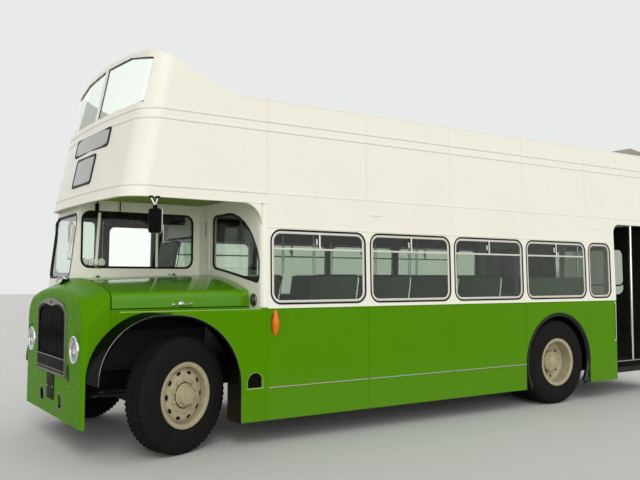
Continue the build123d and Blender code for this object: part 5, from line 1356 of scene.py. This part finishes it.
    def bonnet(self) -> None:
        """Adds the lid's lever handle and folded bead, which ride on it, and pale tubes along the ledge's edges below
        it that paint their highlight.
        """
        form = Form()
        x, y, z = self.handle
        form.lathe([(26, -2), (26, 3), (20, 6), (12, 8), (12, 20), (0, 22)], (x, y, z), NEARSIDE, 24)
        form.tube(bent([(x + 41, y + 16, z - 2), (x, y + 21, z), (x - 80, y + 22, z + 2), (x - 91, y + 18, z + 18)],
                       14), 7)
        form.block((x + 60, y - 2, z - 9), (x + 92, y + 7, z + 9), 3)
        settle("bonnet_handle", form.mesh(Finishes.chrome), Slot.ALLOY, ride=Ride.LID)
        bead = Form()
        bead.tube(self.lid_edge, 6, 10)
        settle("bonnet_edge_bead", bead.mesh(Finishes.lid), Slot.GREEN, ride=Ride.LID)
        # Pale tubes along the ledge's edges: a painted highlight.
        ledge = Form()
        for sign in (-1, 1):
            path = bent([(2512, sign * 1214, 1250), (2522, sign * 1212, 1236), (3700, sign * 1212, 1236),
                         (3890, sign * 1211, 1236)], 12)
            ledge.tube(path, 6, 8)
        settle("ledge_edge_highlights", ledge.mesh(Finishes.edge), Slot.GREEN)

    def build(self) -> None:
        """Builds everything on the nose and bonnet."""
        self.headlamps()
        self.grille()
        self.apertures()
        self.fittings()
        self.bonnet()


# Side trim


@dataclass
class SideTrim:
    """Rail strips, wrapped beads, joint covers, wing and arch edges, vents, the bulkhead's lamp and the mirrors."""

    rail_z: float = 516.0
    bays: tuple[Pair, ...] = ((2482.0, 1330.0), (1314.0, 162.0), (146.0, -1006.0))
    beads_z: tuple[float, ...] = (2316.0, 2910.0, 2996.0)
    rear_beads: tuple[Triple, ...] = ((1240.0, 0.0, -7.0), (1996.0, 936.0, 9999.0))
    canopy_z: float = 2211.0
    wing_middle: Pair = (AXLE_F + 40, 553.0)
    wing_r: float = 648.0
    wing_flat: float = 105.0
    arch_r: float = 590.0
    vents_x: Pair = (1202.0, -2448.0)
    vent_z: float = 2163.0
    lamp: Pair = (1065.0, 1316.0)
    mirror_x: float = AXLE_F + 233
    mirror_z: float = 2005.0
    mirror_turn: float = 36.0

    def strips(self) -> None:
        """Runs the pale strip along the rail, bay by bay."""
        form = Form()
        for place in (HULL.near, HULL.off):
            for start, end in self.bays:
                line = [((x, self.rail_z), (0.0, 1.0)) for x in (end, (start + end) / 2, start)]
                form.moulding(line, ((-5, 4.6), (-4.6, 6.4), (4.6, 6.4), (5, 4.6)), place, closed=False)
        settle("rail_strips", form.mesh(Finishes.alloy), Slot.ALLOY)

    def wraps(self) -> None:
        """Runs the sides' beads on round the front and the rear, and the lip under the canopy."""
        form = Form()
        section = ((-4, -11), (0, -11), (5, -5), (5, 5), (0, 11), (-4, 11))
        lip = ((-4, 0), (3, 0), (6, 3), (6, 10), (2, 14), (-4, 14))
        for z in self.beads_z:
            for front in (True, False):
                line, place = HULL.wrap(z, front)
                form.moulding(line, section, place, closed=False)
        line, place = HULL.wrap(self.canopy_z, True)
        form.moulding(line, lip, place, closed=False)
        # The open platform ends the rear's lower beads short of the nearside; the lowest keeps to the offside corner.
        for z, end, reach in self.rear_beads:
            line, place = HULL.wrap(z, False)
            form.moulding([spot for spot in line if spot[0][0] < end and spot[0][1] <= reach], section, place,
                          closed=False)
        settle("wrapped_beads", form.mesh(Finishes.two_tone), Slot.CREAM)

    def joint_strips(self) -> None:
        """Covers the first joint below the waist with a flat strip."""
        form = Form()
        for place in (HULL.near, HULL.off):
            form.plate(rectangle(HULL.front_joint - 20, HULL.front_joint + 20, 224, 1226, 3), place, -1, 2.5, 1.5)
        settle("joint_strips", form.mesh(Finishes.green), Slot.GREEN)

    def wing_edge(self) -> None:
        """Runs a thin bead round each front wing's edge down to the skirt, and a rolled lip round each rear arch."""
        form = Form()
        (middle_x, middle_z), radius, flat = self.wing_middle, self.wing_r, self.wing_flat
        path = [(middle_x - radius, 224.0), (middle_x - radius, 400.0)]
        for start, end, shift in ((180, 90, 0.0), (90, -1.5, flat)):
            path += [(middle_x + shift + (radius - shift) * math.cos(t), middle_z + shift +
                      (radius - shift) * math.sin(t)) for t in sweep(start, end, 28)]
        for sign in (-1, 1):
            form.tube([(x, sign * 1216.5, z) for x, z in path], 4.2, 8)
        line = [((AXLE_R + self.arch_r * math.cos(t), self.rail_z + self.arch_r * math.sin(t)),
                 (math.cos(t), math.sin(t))) for t in sweep(-29, 209, 48)]
        lip = ((-50, -40), (-50, -22), (-44, -8), (-34, 1), (-22, 5), (-8, 6.5), (0, 5.5), (1, -2))
        for place in (HULL.near, HULL.off):
            form.moulding(line, lip, place, closed=False, tint=1)
        settle("wing_edge_bead", form.mesh(Finishes.wing_edge, Finishes.lip_black), Slot.BLACK)

    def vents(self) -> None:
        """Adds the small hooded vents over the windows."""
        form = Form()
        for place in (HULL.near, HULL.off):
            for x in self.vents_x:
                rings = []
                for k in range(9):
                    t = k / 8
                    reach = 11.0 * math.sin(math.pi * (0.08 + 0.84 * t)) ** 0.5
                    across = x - 72 + 144 * t
                    rings.append([place(across, self.vent_z + v, u * reach)
                                  for u, v in ((0, 12), (0.7, 8), (1, 0), (0.9, -3), (0, -3))])
                form.skin(rings, caps=True)
        settle("side_vents", form.mesh(Finishes.cream), Slot.CREAM)

    def corner_lamp(self) -> None:
        """Sets the round dark lamp, the post covers and a thin black strip on the bulkhead that paints the shade of a
        slot.
        """
        form = Form()
        at = (HULL.bulkhead - 1, *self.lamp)
        form.lathe([(44, 0), (60, 3), (61, 12), (57, 17), (51, 14)], at, AHEAD, 36)
        form.lathe([(52, 6), (51, 15), (42, 25), (24, 33), (0, 36)], at, AHEAD, 36, tint=1)
        for y0, y1 in ((-132, -28), (42, 104)):
            form.plate(rectangle(y0, y1, 1600, 2284, 5), HULL.wall, -1, 7, 2.5, tint=2)
        # A thin black strip: painted shade of a slot.
        form.plate(rectangle(2, 12, 1940, 2110, 4), HULL.wall, -1, 3, 1, tint=3)
        finishes = (Finishes.dull_alloy, Finishes.dark_glass, Finishes.cream, Finishes.plastic)
        settle("bulkhead_lamp_and_covers", form.mesh(*finishes), Slot.LENS)

    def mirror(self) -> None:
        """Builds the hanging nearside mirror and the offside one: padded head, stem and bracket."""
        form = Form()
        middle, z, turn = self.mirror_x, self.mirror_z, math.radians(self.mirror_turn)
        for sign, y in ((1, 1219.0), (-1, -1253.0)):
            face = rectangle(-60, 60, z - 104, z + 104, 22)

            def place(a: float, b: float, v: float, y: float = y, lean: float = sign * turn) -> Vector:
                """Gives a place on the mirror's face, which leans about its stem at y."""
                return Vector((middle + v * math.cos(lean) - a * math.sin(lean),
                               y + v * math.sin(lean) + a * math.cos(lean), b))

            form.plate(face, place, -8, 17, 8)
            form.plate(face, place, -8, -17, -3, tint=1)
            form.lathe([(19, 0), (21, 6), (21, 30), (15, 38), (0, 38)], (middle, y, z + 97), UP, 18)
        for x in (middle - 30, middle + 30):
            form.lathe([(20, -6), (20, 4), (13, 12), (0, 12)], (x, 1196, self.canopy_z), DOWN, 18)
            form.tube(bent([(x, 1196, 2203), ((x + middle) / 2, 1206, 2168), (middle, 1219, 2134)], 14), 8, tint=2)
        form.tube(bent([(middle, -1253, 2130), (middle, -1253, 2168), (middle, -1196, 2168)], 18), 9)
        settle("mirror_pair", form.mesh(Finishes.plastic, Finishes.chrome, Finishes.alloy), Slot.PLATE, ["mirrors"])

    def build(self) -> None:
        """Builds all side trim."""
        self.strips()
        self.wraps()
        self.joint_strips()
        self.wing_edge()
        self.vents()
        self.corner_lamp()
        self.mirror()


# Cab


@dataclass
class Cab:
    """Window bars, blank discs, header, brackets and handle of the cab, and the ceiling over the bonnet."""

    low: float = 1623.0
    high: float = 2171.0
    bars: tuple[tuple[float, float], ...] = ((3666.0, 3638.0), (3036.0, 3036.0))
    discs: tuple[float, ...] = (3775.0, 3695.0, 3604.0)
    rod_x: float = 3440.0
    grab: Pair = (1700.0, 2010.0)
    grab_y: float = -170.0
    ceiling_z: float = 2289.0

    def window(self) -> None:
        """Stands the pale bars in the near window and sets the brass catch on the sill."""
        form = Form()
        for foot, head in self.bars:
            line = [((foot, self.low + 4), (1.0, 0.0)), ((head, self.high - 4), (1.0, 0.0))]
            form.moulding(line, ((-13, -12), (-13, 1), (-9, 4), (9, 4), (13, 1), (13, -12)), HULL.cab_wall,
                          closed=False)
        catch = (self.bars[0][0], HULL.cab_near + 3, self.low + 6)
        form.lathe([(14, 0), (14, 6), (9, 9), (0, 10)], catch, NEARSIDE, 16, tint=1)
        form.tube(bent([(catch[0] - 30, -138, 1612), (catch[0], -134, 1630), (catch[0] + 26, -138, 1652)], 16), 6.5,
                  tint=1)
        settle("cab_window_bars", form.mesh(Finishes.cab_cream, Finishes.brass), Slot.CREAM)

    def header(self) -> None:
        """Hangs the dark header, a black block that paints the shade under the cab's roof, and the two small brackets
        at the window's top.
        """
        form = Form()
        # Black block along the window's head: painted shade under the roof.
        form.block((2700, -215, 2075), (3800, -190, 2190), 8)
        form.block((3655, -148, 2168), (3690, -118, 2252), 6)
        form.tube(bent([(3672, -130, 2252), (3672, -126, 2285)], 5), 6)
        form.tube([(self.rod_x, -128, 2286), (self.rod_x, -128, 2150)], 6, 10)
        form.lathe([(10, 0), (12, 8), (10, 22), (0, 24)], (self.rod_x, -128, 2130), UP, 14)
        settle("cab_header", form.mesh(Finishes.plastic), Slot.PLATE)

    def sill(self) -> None:
        """Stands the blank white discs on the sill behind the glass."""
        form = Form()
        for x in self.discs:
            form.lathe([(0, -3), (37, -3), (39, 0), (37, 3), (30, 4.5), (0, 4.5)], (x, -182, 1672), NEARSIDE, 32)
            form.block((x - 12, -189, 1618), (x + 12, -176, 1640), 2, tint=1)
        form.block((3560, -230, 1602), (3810, -174, 1622), 4, tint=1)
        settle("cab_sill_discs", form.mesh(Finishes.card, Finishes.plastic), Slot.PLATE)

    def handle(self) -> None:
        """Runs the grab handle down the post between the windscreen and the near window."""
        form = Form()
        low, high = self.grab
        path = [HULL.screen(self.grab_y, z, out) for z, out in ((high, -2), (high, 42), (low, 42), (low, -2))]
        form.tube(bent(path, 26), 8, 12)
        for z in self.grab:
            form.lathe([(19, -2), (19, 4), (13, 9), (0, 10)], HULL.screen(self.grab_y, z, 0), AHEAD, 20)
        settle("cab_handle", form.mesh(Finishes.alloy), Slot.ALLOY)

    def ceiling(self) -> None:
        """Lines the canopy's ceiling over the bonnet with its pale green panel, whose green is a painted reflection of
        the bonnet.
        """
        form = Form()
        tip = HULL.front(0.0, HULL.deck - 40, -30.0).x
        line = [(tip + b, a) for (a, b), _ in bowed(HULL.side_y(2280) - 30, HULL.bow, HULL.front_corner - 30)
                if a > -143]
        outline = filleted([(2560.0, -143.0), (2560.0, 1160.0)] + line + [(tip, -143.0)], 3, 1)
        form.plate(outline, lambda a, b, v: Vector((a, b, self.ceiling_z - v)), 0, 5, 1.0)
        settle("canopy_ceiling", form.mesh(Finishes.ceiling), Slot.GREEN)

    def build(self) -> None:
        """Builds the cab's pieces."""
        self.window()
        self.header()
        self.sill()
        self.handle()
        self.ceiling()


# Seats


@dataclass
class Bench:
    """A bench seat for two: crowned cushion and squab with piping and a channel, on a tubular frame."""

    width: float
    deep: float = 420.0
    thick: float = 100.0
    lean: float = 70.0
    back_t: float = 55.0
    top: float = 860.0
    seat_z: float = 440.0

    def pad(self, form: Form, low: Triple, high: Triple, crown: float, face: int, shear: float = 0.0) -> None:
        """Adds a crowned pad whose sides pull in between its corners, with a channel between the two places.

        Args:
            form: The mesh that takes it.
            low: The lowest corner.
            high: The highest corner.
            crown: How far the middle swells.
            face: The axis that swells, 0 for a squab and 2 for a cushion.
            shear: How far the top leans backwards.
        """
        across, up = (1, 2) if face == 0 else (1, 0)
        size = [high[i] - low[i] for i in range(3)]
        mid = [(high[i] + low[i]) / 2 for i in range(3)]
        long, tall = 20, 12

        def spot(a: float, b: float, w: float) -> Vector:
            """Gives a point of the pad.

            Args:
                a: Its share across, from -1 to 1.
                b: Its share up.
                w: Its share through the pad.

            Returns:
                The point.
            """
            pull = 1 - 0.02 * (1 - w * w)
            edge = 1 - 0.05 * (1 if abs(w) > 0.9 else 0)
            ca = a * pull * edge * (1 - 0.012 * (1 - b * b))
            cb = b * pull * edge * (1 - 0.02 * (1 - a * a))
            swell = (1 - abs(a) ** 3.2) * (1 - abs(b) ** 3.2)
            channel = 0.35 * math.exp(-((a * size[across] / 2) / 9.0) ** 2)
            for line in (-0.33, 0.33):
                channel += 0.22 * math.exp(-(((b - line) * size[up] / 2) / 8.0) ** 2)
            point = [0.0, 0.0, 0.0]
            point[across] = mid[across] + ca * size[across] / 2
            point[up] = mid[up] + cb * size[up] / 2
            point[face] = mid[face] + w * size[face] / 2 + (1 if w > 0 else 0) * crown * swell * (1 - channel) * w
            point[0] -= shear * (point[2] - low[2]) / max(1.0, size[2]) if face == 0 else 0.0
            return Vector(point)

        grid = [[(-1 + 2 * i / long, -1 + 2 * j / tall) for i in range(long + 1)] for j in range(tall + 1)]
        outline = grid[0][:-1] + [row[-1] for row in grid[:-1]] + grid[-1][:0:-1] + [row[0] for row in grid[:0:-1]]
        form.skin([[spot(a, b, w) for a, b in outline] for w in (-1.0, -0.8, -0.35, 0.35, 0.8, 1.0)])
        for w in (-1.0, 1.0):
            form.skin([[spot(a, b, w) for a, b in row] for row in grid], around=False)
        for w in (-0.88, 0.88):
            form.tube([spot(a * 1.012, b * 1.02, w) for a, b in outline], 4.2, 6, closed=True, tint=1)

    def cushions(self) -> bpy.types.Mesh:
        """Builds the cushion and squab with the bench's front foot at the origin.

        Returns:
            The padded piece.
        """
        form = Form()
        half = self.width / 2
        low = self.seat_z - self.thick
        self.pad(form, (-self.deep - 6, -half + 8, low + 4), (-6, half - 8, self.seat_z - 14), 13, 2)
        self.pad(form, (-self.deep - 46, -half + 10, self.seat_z - 8), (-self.deep - 4, half - 10, self.top - 22), 10,
                 0, self.lean * 0.88)
        return form.mesh(Finishes.moquette, Finishes.hide, smooth=60)

    def frame(self) -> bpy.types.Mesh:
        """Builds the legs, rails, hide back and grab rail with the bench's front foot at the origin.

        Returns:
            The frame.
        """
        form = Form()
        half = self.width / 2
        low = self.seat_z - self.thick
        base = -self.deep
        for y in (-half + 75, half - 75):
            form.tube(bent([(-75, y, 2), (-75, y, low - 8), (base + 45, y, low - 8), (base + 45, y, 2)], 40), 13)
            for x in (-75, base + 45):
                form.lathe([(34, 0), (34, 4), (26, 8), (14, 10)], (x, y, 0), UP, 20)
        form.block((base + 8, -half + 12, low - 6), (-10, half - 12, low + 6), 4, tint=1)
        back_x = base - self.back_t
        section = [(0, -half + 14), (-4, -half * 0.5), (-5, 0), (-4, half * 0.5), (0, half - 14), (10, half - 14),
                   (8, 0), (10, -half + 14)]
        shell = []
        for t in range(9):
            z = low + 20 + (self.top - low - 40) * t / 8
            x = back_x - self.lean * max(0.0, (z - self.seat_z)) / (self.top - self.seat_z) + 2
            shell.append([Vector((x + u, y, z)) for u, y in section])
        form.skin(shell, caps=True, tint=1)
        x_low, x_top, end = back_x + 18, back_x - self.lean + 22, half - 9
        rail = bent([(x_low, -end, low), (x_low, -end, self.seat_z), (x_top, -end, self.top - 12),
                     (x_top, end, self.top - 12), (x_low, end, self.seat_z), (x_low, end, low)], 70, 7)
        form.tube(rail, 11)
        return form.mesh(Finishes.chrome, Finishes.hide)


@dataclass
class Seating:
    """Every seat of both decks and the cab."""

    lower_front: float = 1930.0
    lower_pitch: float = 690.0
    lower_rows: int = 4
    lower_z: float = 700.0
    upper_front: float = 2928.0
    upper_pitch: float = 715.0
    upper_rows: int = 8
    deck_z: float = 2327.0
    driver_at: Triple = (3190.0, -640.0, 1070.0)
    fill: float = 0.7

    def set_pads(self, name: str, mesh: bpy.types.Mesh, node: str, at: Optional[Matrix] = None) -> None:
        """Sets a seat's pads in the place of their CAD node."""
        settle(name, mesh, Slot.CLOTH, [node], at=at)

    def rows(self, label: str, node: str, front: float, pitch: float, count: int, z: float, inner: float,
             outer: float) -> None:
        """Sets rows of benches on both sides of the aisle, on one shared mesh.

        Args:
            label: The start of the pieces' names.
            node: The CAD node that they stand for.
            front: The first bench's front edge.
            pitch: The distance from row to row.
            count: The number of rows.
            z: The floor.
            inner: The aisle end of a bench.
            outer: The wall end of a bench.
        """
        bench = Bench(outer - inner)
        pads, under = bench.cushions(), bench.frame()
        middle = (inner + outer) / 2
        for row in range(count):
            for sign, side in ((1, "near"), (-1, "off")):
                at = Matrix.Translation(Vector((front - pitch * row, sign * middle, z)) * MM)
                self.set_pads(f"{label}_pads_{side}_{row + 1}", pads, node, at)
                settle(f"{label}_frame_{side}_{row + 1}", under, Slot.ALLOY, at=at)

    def long_benches(self) -> None:
        """Builds the two long benches over the rear wheel boxes."""
        bench = Bench(1250.0)
        inner, outer = 600.0, 1178.0
        end = AXLE_R + 618
        for sign, side in ((1, "near"), (-1, "off")):
            pads = Form()
            bench.pad(pads, (-480, -620, 0), (-6, 620, 62), 12, 2)
            bench.pad(pads, (-560, -620, 66), (-510, 620, 440), 10, 0, 18)
            turn = Matrix.Rotation(math.radians(-90 * sign), 4, "Z")
            pads.bm.transform(Matrix.Translation(Vector((AXLE_R, sign * inner, 1092))) @ turn)
            self.set_pads(f"wheel_box_pads_{side}", pads.mesh(Finishes.moquette, Finishes.hide, smooth=60),
                          "saloon_seats")
            form = Form()
            y0, y1 = sorted((sign * (inner + 8), sign * (outer - 12)))
            form.block((AXLE_R - 612, y0, 1072), (AXLE_R + 612, y1, 1094), 5, tint=1)
            low_y, high_y = sign * (inner + 30), sign * (outer - 30)
            form.tube(bent([(end, low_y, 1100), (end, low_y, 1330), (end, high_y, 1330), (end, high_y, 1100)], 60), 12)
            settle(f"wheel_box_rail_{side}", form.mesh(Finishes.chrome, Finishes.hide), Slot.ALLOY)

    def driver(self) -> None:
        """Builds the driver's seat."""
        bench = Bench(480.0)
        at = Matrix.Translation(Vector(self.driver_at) * MM)
        self.set_pads("driver_pads", bench.cushions(), "driver_seat", at)
        settle("driver_seat_frame", bench.frame(), Slot.ALLOY, at=at)

    def build(self) -> None:
        """Builds all the seats."""
        self.rows("saloon", "saloon_seats", self.lower_front, self.lower_pitch, self.lower_rows, self.lower_z, 330.0,
                  1175.0)
        self.rows("upper", "upper_seats", self.upper_front, self.upper_pitch, self.upper_rows, self.deck_z, 300.0,
                  1140.0)
        self.long_benches()
        self.driver()


# Saloon, platform and rear


@dataclass
class Interior:
    """Poles, ceiling lamps, the platform's edge and the doorway's handrail."""

    ceiling: float = 2291.0
    aisle: float = 330.0
    rail_z: float = 2190.0
    platform_x: Pair = (-3980.0, -2760.0)

    def poles(self) -> None:
        """Stands the grab poles and runs the ceiling rails."""
        form = Form()
        for sign in (-1, 1):
            y, top = sign * self.aisle, self.ceiling - 4
            for row in range(4):
                x = 1400 - 690 * row
                form.tube([(x, y, 1560), (x, y, self.ceiling - 2)], 15, 12)
                form.lathe([(32, 0), (32, 5), (20, 12), (15, 14)], (x, y, self.ceiling), DOWN, 20)
            rail = bent([(2300, y, top), (2300, y, self.rail_z), (-2500, y, self.rail_z), (-2500, y, top)], 60)
            form.tube(rail, 13, 12)
        settle("grab_poles", form.mesh(Finishes.chrome), Slot.ALLOY)

    def lamps(self) -> None:
        """Sets round opal lamps in the ceiling."""
        form = Form()
        for row in range(6):
            for sign in (-1, 1):
                at = (2050 - 800 * row, sign * 640, self.ceiling)
                form.lathe([(66, 0), (66, 8), (58, 14), (52, 14)], at, DOWN, 28)
                form.lathe([(52, 10), (50, 26), (36, 40), (16, 46), (0, 47)], at, DOWN, 28, tint=1)
        settle("ceiling_lamps", form.mesh(Finishes.chrome, Finishes.blind), Slot.LENS)

    def platform(self) -> None:
        """Edges the platform with a bright nosing over a dark riser, ribs its floor and sets the doorway's handrail."""
        form = Form()
        low_x, high_x = self.platform_x
        form.block((low_x, 1190, 441), (high_x, 1219, 449.5), 2.5)
        form.block((low_x, 1206, 371), (high_x, 1217.5, 441), 3, tint=1)
        edge_x = HULL.rear_joint + 4
        path = bent([(edge_x, 1214, 1216), (edge_x - 2, 1228, 1204), (edge_x - 2, 1228, 727), (edge_x, 1214, 715)], 12)
        form.tube(path, 6.5, 10)
        for z in (1210, 722):
            form.lathe([(17, -2), (17, 4), (11, 8), (0, 8)], (edge_x, 1219, z), NEARSIDE, 16)
        for i in range(9):
            y = 1150 - 46 * i
            form.block((low_x + 20, y - 9, 446), (high_x, y + 9, 449.5), 1.4, tint=1)
        settle("platform_edge", form.mesh(Finishes.alloy, Finishes.plastic), Slot.FLOOR)

    def build(self) -> None:
        """Builds the interior's pieces."""
        self.poles()
        self.lamps()
        self.platform()


@dataclass
class Rear:
    """Rear lamps and the capping rail of the open deck."""

    top: float = 3205.0

    def lamps(self) -> None:
        """Sets a red and an amber lamp on each side of the rear."""
        form = Form()
        for y, z, tint in ((-1000, 800, 1), (-1000, 690, 2), (960, 800, 1), (960, 690, 2)):
            at = HULL.back(y, z, 0)
            form.lathe([(34, 0), (46, 3), (50, 9), (46, 14), (40, 15)], at, BEHIND, 28)
            form.lathe([(41, 8), (38, 17), (26, 23), (12, 26), (0, 26)], at, BEHIND, 28, tint=tint)
        settle("rear_lamps", form.mesh(Finishes.chrome, Finishes.red, Finishes.amber), Slot.LENS)

    def capping(self) -> None:
        """Runs the rounded capping along the top edge of the upper sides."""
        form = Form()
        section = [(-22, -6), (-22, 4), (-16, 7), (-2, 7), (3, 4), (3, -6)]
        half = HULL.side_y(self.top)
        for sign in (-1, 1):
            form.skin([[Vector((x, sign * (half + u), self.top - 3 + v)) for u, v in section]
                       for x in (2790, 1000, -1000, -3700)], caps=True)
        settle("top_capping", form.mesh(Finishes.cream), Slot.CREAM)

    def build(self) -> None:
        """Builds the rear's pieces."""
        self.lamps()
        self.capping()


# Finishes of the solids


def dress_solids() -> None:
    """Gives every CAD node its finish."""
    table = {
        Finishes.two_tone: ("lower_sides", "rear_lower_body"),
        Finishes.green: ("nose_cowl", "front_sides"),
        Finishes.lid: ("bonnet_lid",),
        Finishes.cream: ("upper_sides", "upper_front", "upper_rear", "canopy", "front_screen_frame",
                         "platform_partition"),
        Finishes.bulkhead: ("front_bulkhead",),
        Finishes.cab_cream: ("cab_shell", "cab_door"),
        Finishes.black: ("wings",),
        Finishes.wheel: ("front_wheel_near", "front_wheel_off", "rear_wheels_near", "rear_wheels_off"),
        Finishes.alloy: ("window_frames",),
        Finishes.chrome: ("handrails",),
        Finishes.iron: ("knuckle_near", "knuckle_off", "front_axle_beam", "rear_axle", "leaf_springs",
                        "engine_block", "gearbox_and_shaft"),
        Finishes.chassis: ("chassis_frame", "fuel_tank"),
        Finishes.glass: ("saloon_glass",),
        Finishes.clear_glass: ("front_glass",),
        Finishes.lino: ("saloon_floor", "rear_platform", "cab_floor", "stairs"),
        Finishes.deck: ("upper_floor",),
        Finishes.plate: ("number_plate",),
        Finishes.plastic: ("steering_wheel", "mirrors", "radiator_grille"),
        Finishes.rubber: ("front_tyre_near", "front_tyre_off", "rear_tyres_near", "rear_tyres_off"),
        Finishes.moquette: ("saloon_seats", "upper_seats", "driver_seat"),
        Finishes.amber: ("lamps",),
    }
    for finish, names in table.items():
        for name in names:
            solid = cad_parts[name]
            if not solid.material_slots:
                solid.data.materials.append(finish.make())
            for holder in solid.material_slots:
                holder.material = finish.make()


# Studio


@dataclass
class Studio:
    """Pale floor, soft lamps, plain background and the photograph's camera."""

    eye: Triple = (6026.0, 7326.0, 1533.0)
    yaw: float = -123.93
    pitch: float = 3.54
    roll: float = 0.18
    lens: float = 42.71
    shift_y: float = -0.0158
    # Each sun's name, strength, spread, rise above the floor and bearing round the bus, in degrees
    suns: tuple[tuple[str, float, float, float, float], ...] = (
        ("soft_key", 0.6, 30, 45, 62), ("low_fill", 1.3, 50, 9, 67), ("back_fill", 0.45, 60, 20, 242))
    glow: float = 0.55

    def camera(self) -> None:
        """Sets the camera where the photograph was taken."""
        yaw, pitch, roll = (math.radians(a) for a in (self.yaw, self.pitch, self.roll))
        ahead = Vector((math.cos(pitch) * math.cos(yaw), math.cos(pitch) * math.sin(yaw), math.sin(pitch)))
        right = Vector((math.sin(yaw), -math.cos(yaw), 0))
        up = right.cross(ahead)
        level = right * math.cos(roll) + up * math.sin(roll)
        rise = up * math.cos(roll) - right * math.sin(roll)
        view = bpy.data.cameras.new("photo_camera")
        view.lens = self.lens
        view.sensor_width = 36.0
        view.shift_y = self.shift_y
        view.clip_end = 200.0
        holder = bpy.data.objects.new("photo_camera", view)
        bpy.context.scene.collection.objects.link(holder)
        turn = Matrix((level, rise, -ahead)).transposed().to_4x4()
        holder.matrix_world = Matrix.Translation(Vector(self.eye) * MM) @ turn
        bpy.context.scene.camera = holder

    def floor(self) -> None:
        """Lays a round pale floor."""
        form = Form()
        form.lathe([(0, 0), (12000, 0), (60000, 0)], (0, 0, -1.0), UP, 64)
        floor = bpy.data.objects.new("studio_floor", form.mesh(Finishes.floor))
        bpy.context.scene.collection.objects.link(floor)
        floor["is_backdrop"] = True

    def lamps(self) -> None:
        """Hangs a high soft key and a low wide fill, and lights the rest from the background."""
        for name, energy, spread, rise, bearing in self.suns:
            lamp = bpy.data.lights.new(name, "SUN")
            lamp.energy = energy
            lamp.angle = math.radians(spread)
            holder = bpy.data.objects.new(name, lamp)
            up, way = math.radians(rise), math.radians(bearing)
            ahead = -Vector((math.cos(up) * math.cos(way), math.cos(up) * math.sin(way), math.sin(up)))
            holder.rotation_euler = ahead.to_track_quat("-Z", "Y").to_euler()
            bpy.context.scene.collection.objects.link(holder)
        world = bpy.data.worlds.new("plain_background")
        world.use_nodes = True
        tree = world.node_tree
        tree.nodes.clear()
        rays = add(tree, "LightPath")
        seen = add(tree, "Math", {0: rays.outputs["Is Camera Ray"], 1: rays.outputs["Is Glossy Ray"]},
                   operation="ADD")
        seen = add(tree, "Math", {0: seen.outputs[0], 1: rays.outputs["Is Transmission Ray"]},
                   operation="ADD", use_clamp=True)
        light = add(tree, "Background", {"Color": linear("FFFFFF"), "Strength": self.glow})
        plain = add(tree, "Background", {"Color": linear("E9EAEA"), "Strength": 1.0})
        both = add(tree, "MixShader", {0: seen.outputs[0], 1: light.outputs[0], 2: plain.outputs[0]})
        add(tree, "OutputWorld", {"Surface": both.outputs[0]})
        bpy.context.scene.world = world

    def build(self) -> None:
        """Builds the studio."""
        self.camera()
        self.floor()
        self.lamps()
        bpy.context.scene.view_settings.view_transform = "Standard"


def plain(box: Any) -> list:
    """Turns a box of vectors into plain lists of numbers."""
    return [[float(c) for c in corner] for corner in box]


def main() -> None:
    """Builds the studio and every sub-assembly in order."""
    logging.basicConfig(level=logging.INFO, format="%(message)s")
    Studio().build()
    dress_solids()
    for assembly in (RoadWheel(), Glazing(), Nose(), SideTrim(), Cab(), Seating(), Interior(), Rear()):
        assembly.build()
    {"cad": plain(CAD_BOX), "visual": plain(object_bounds())}


if __name__ == "__main__":
    main()
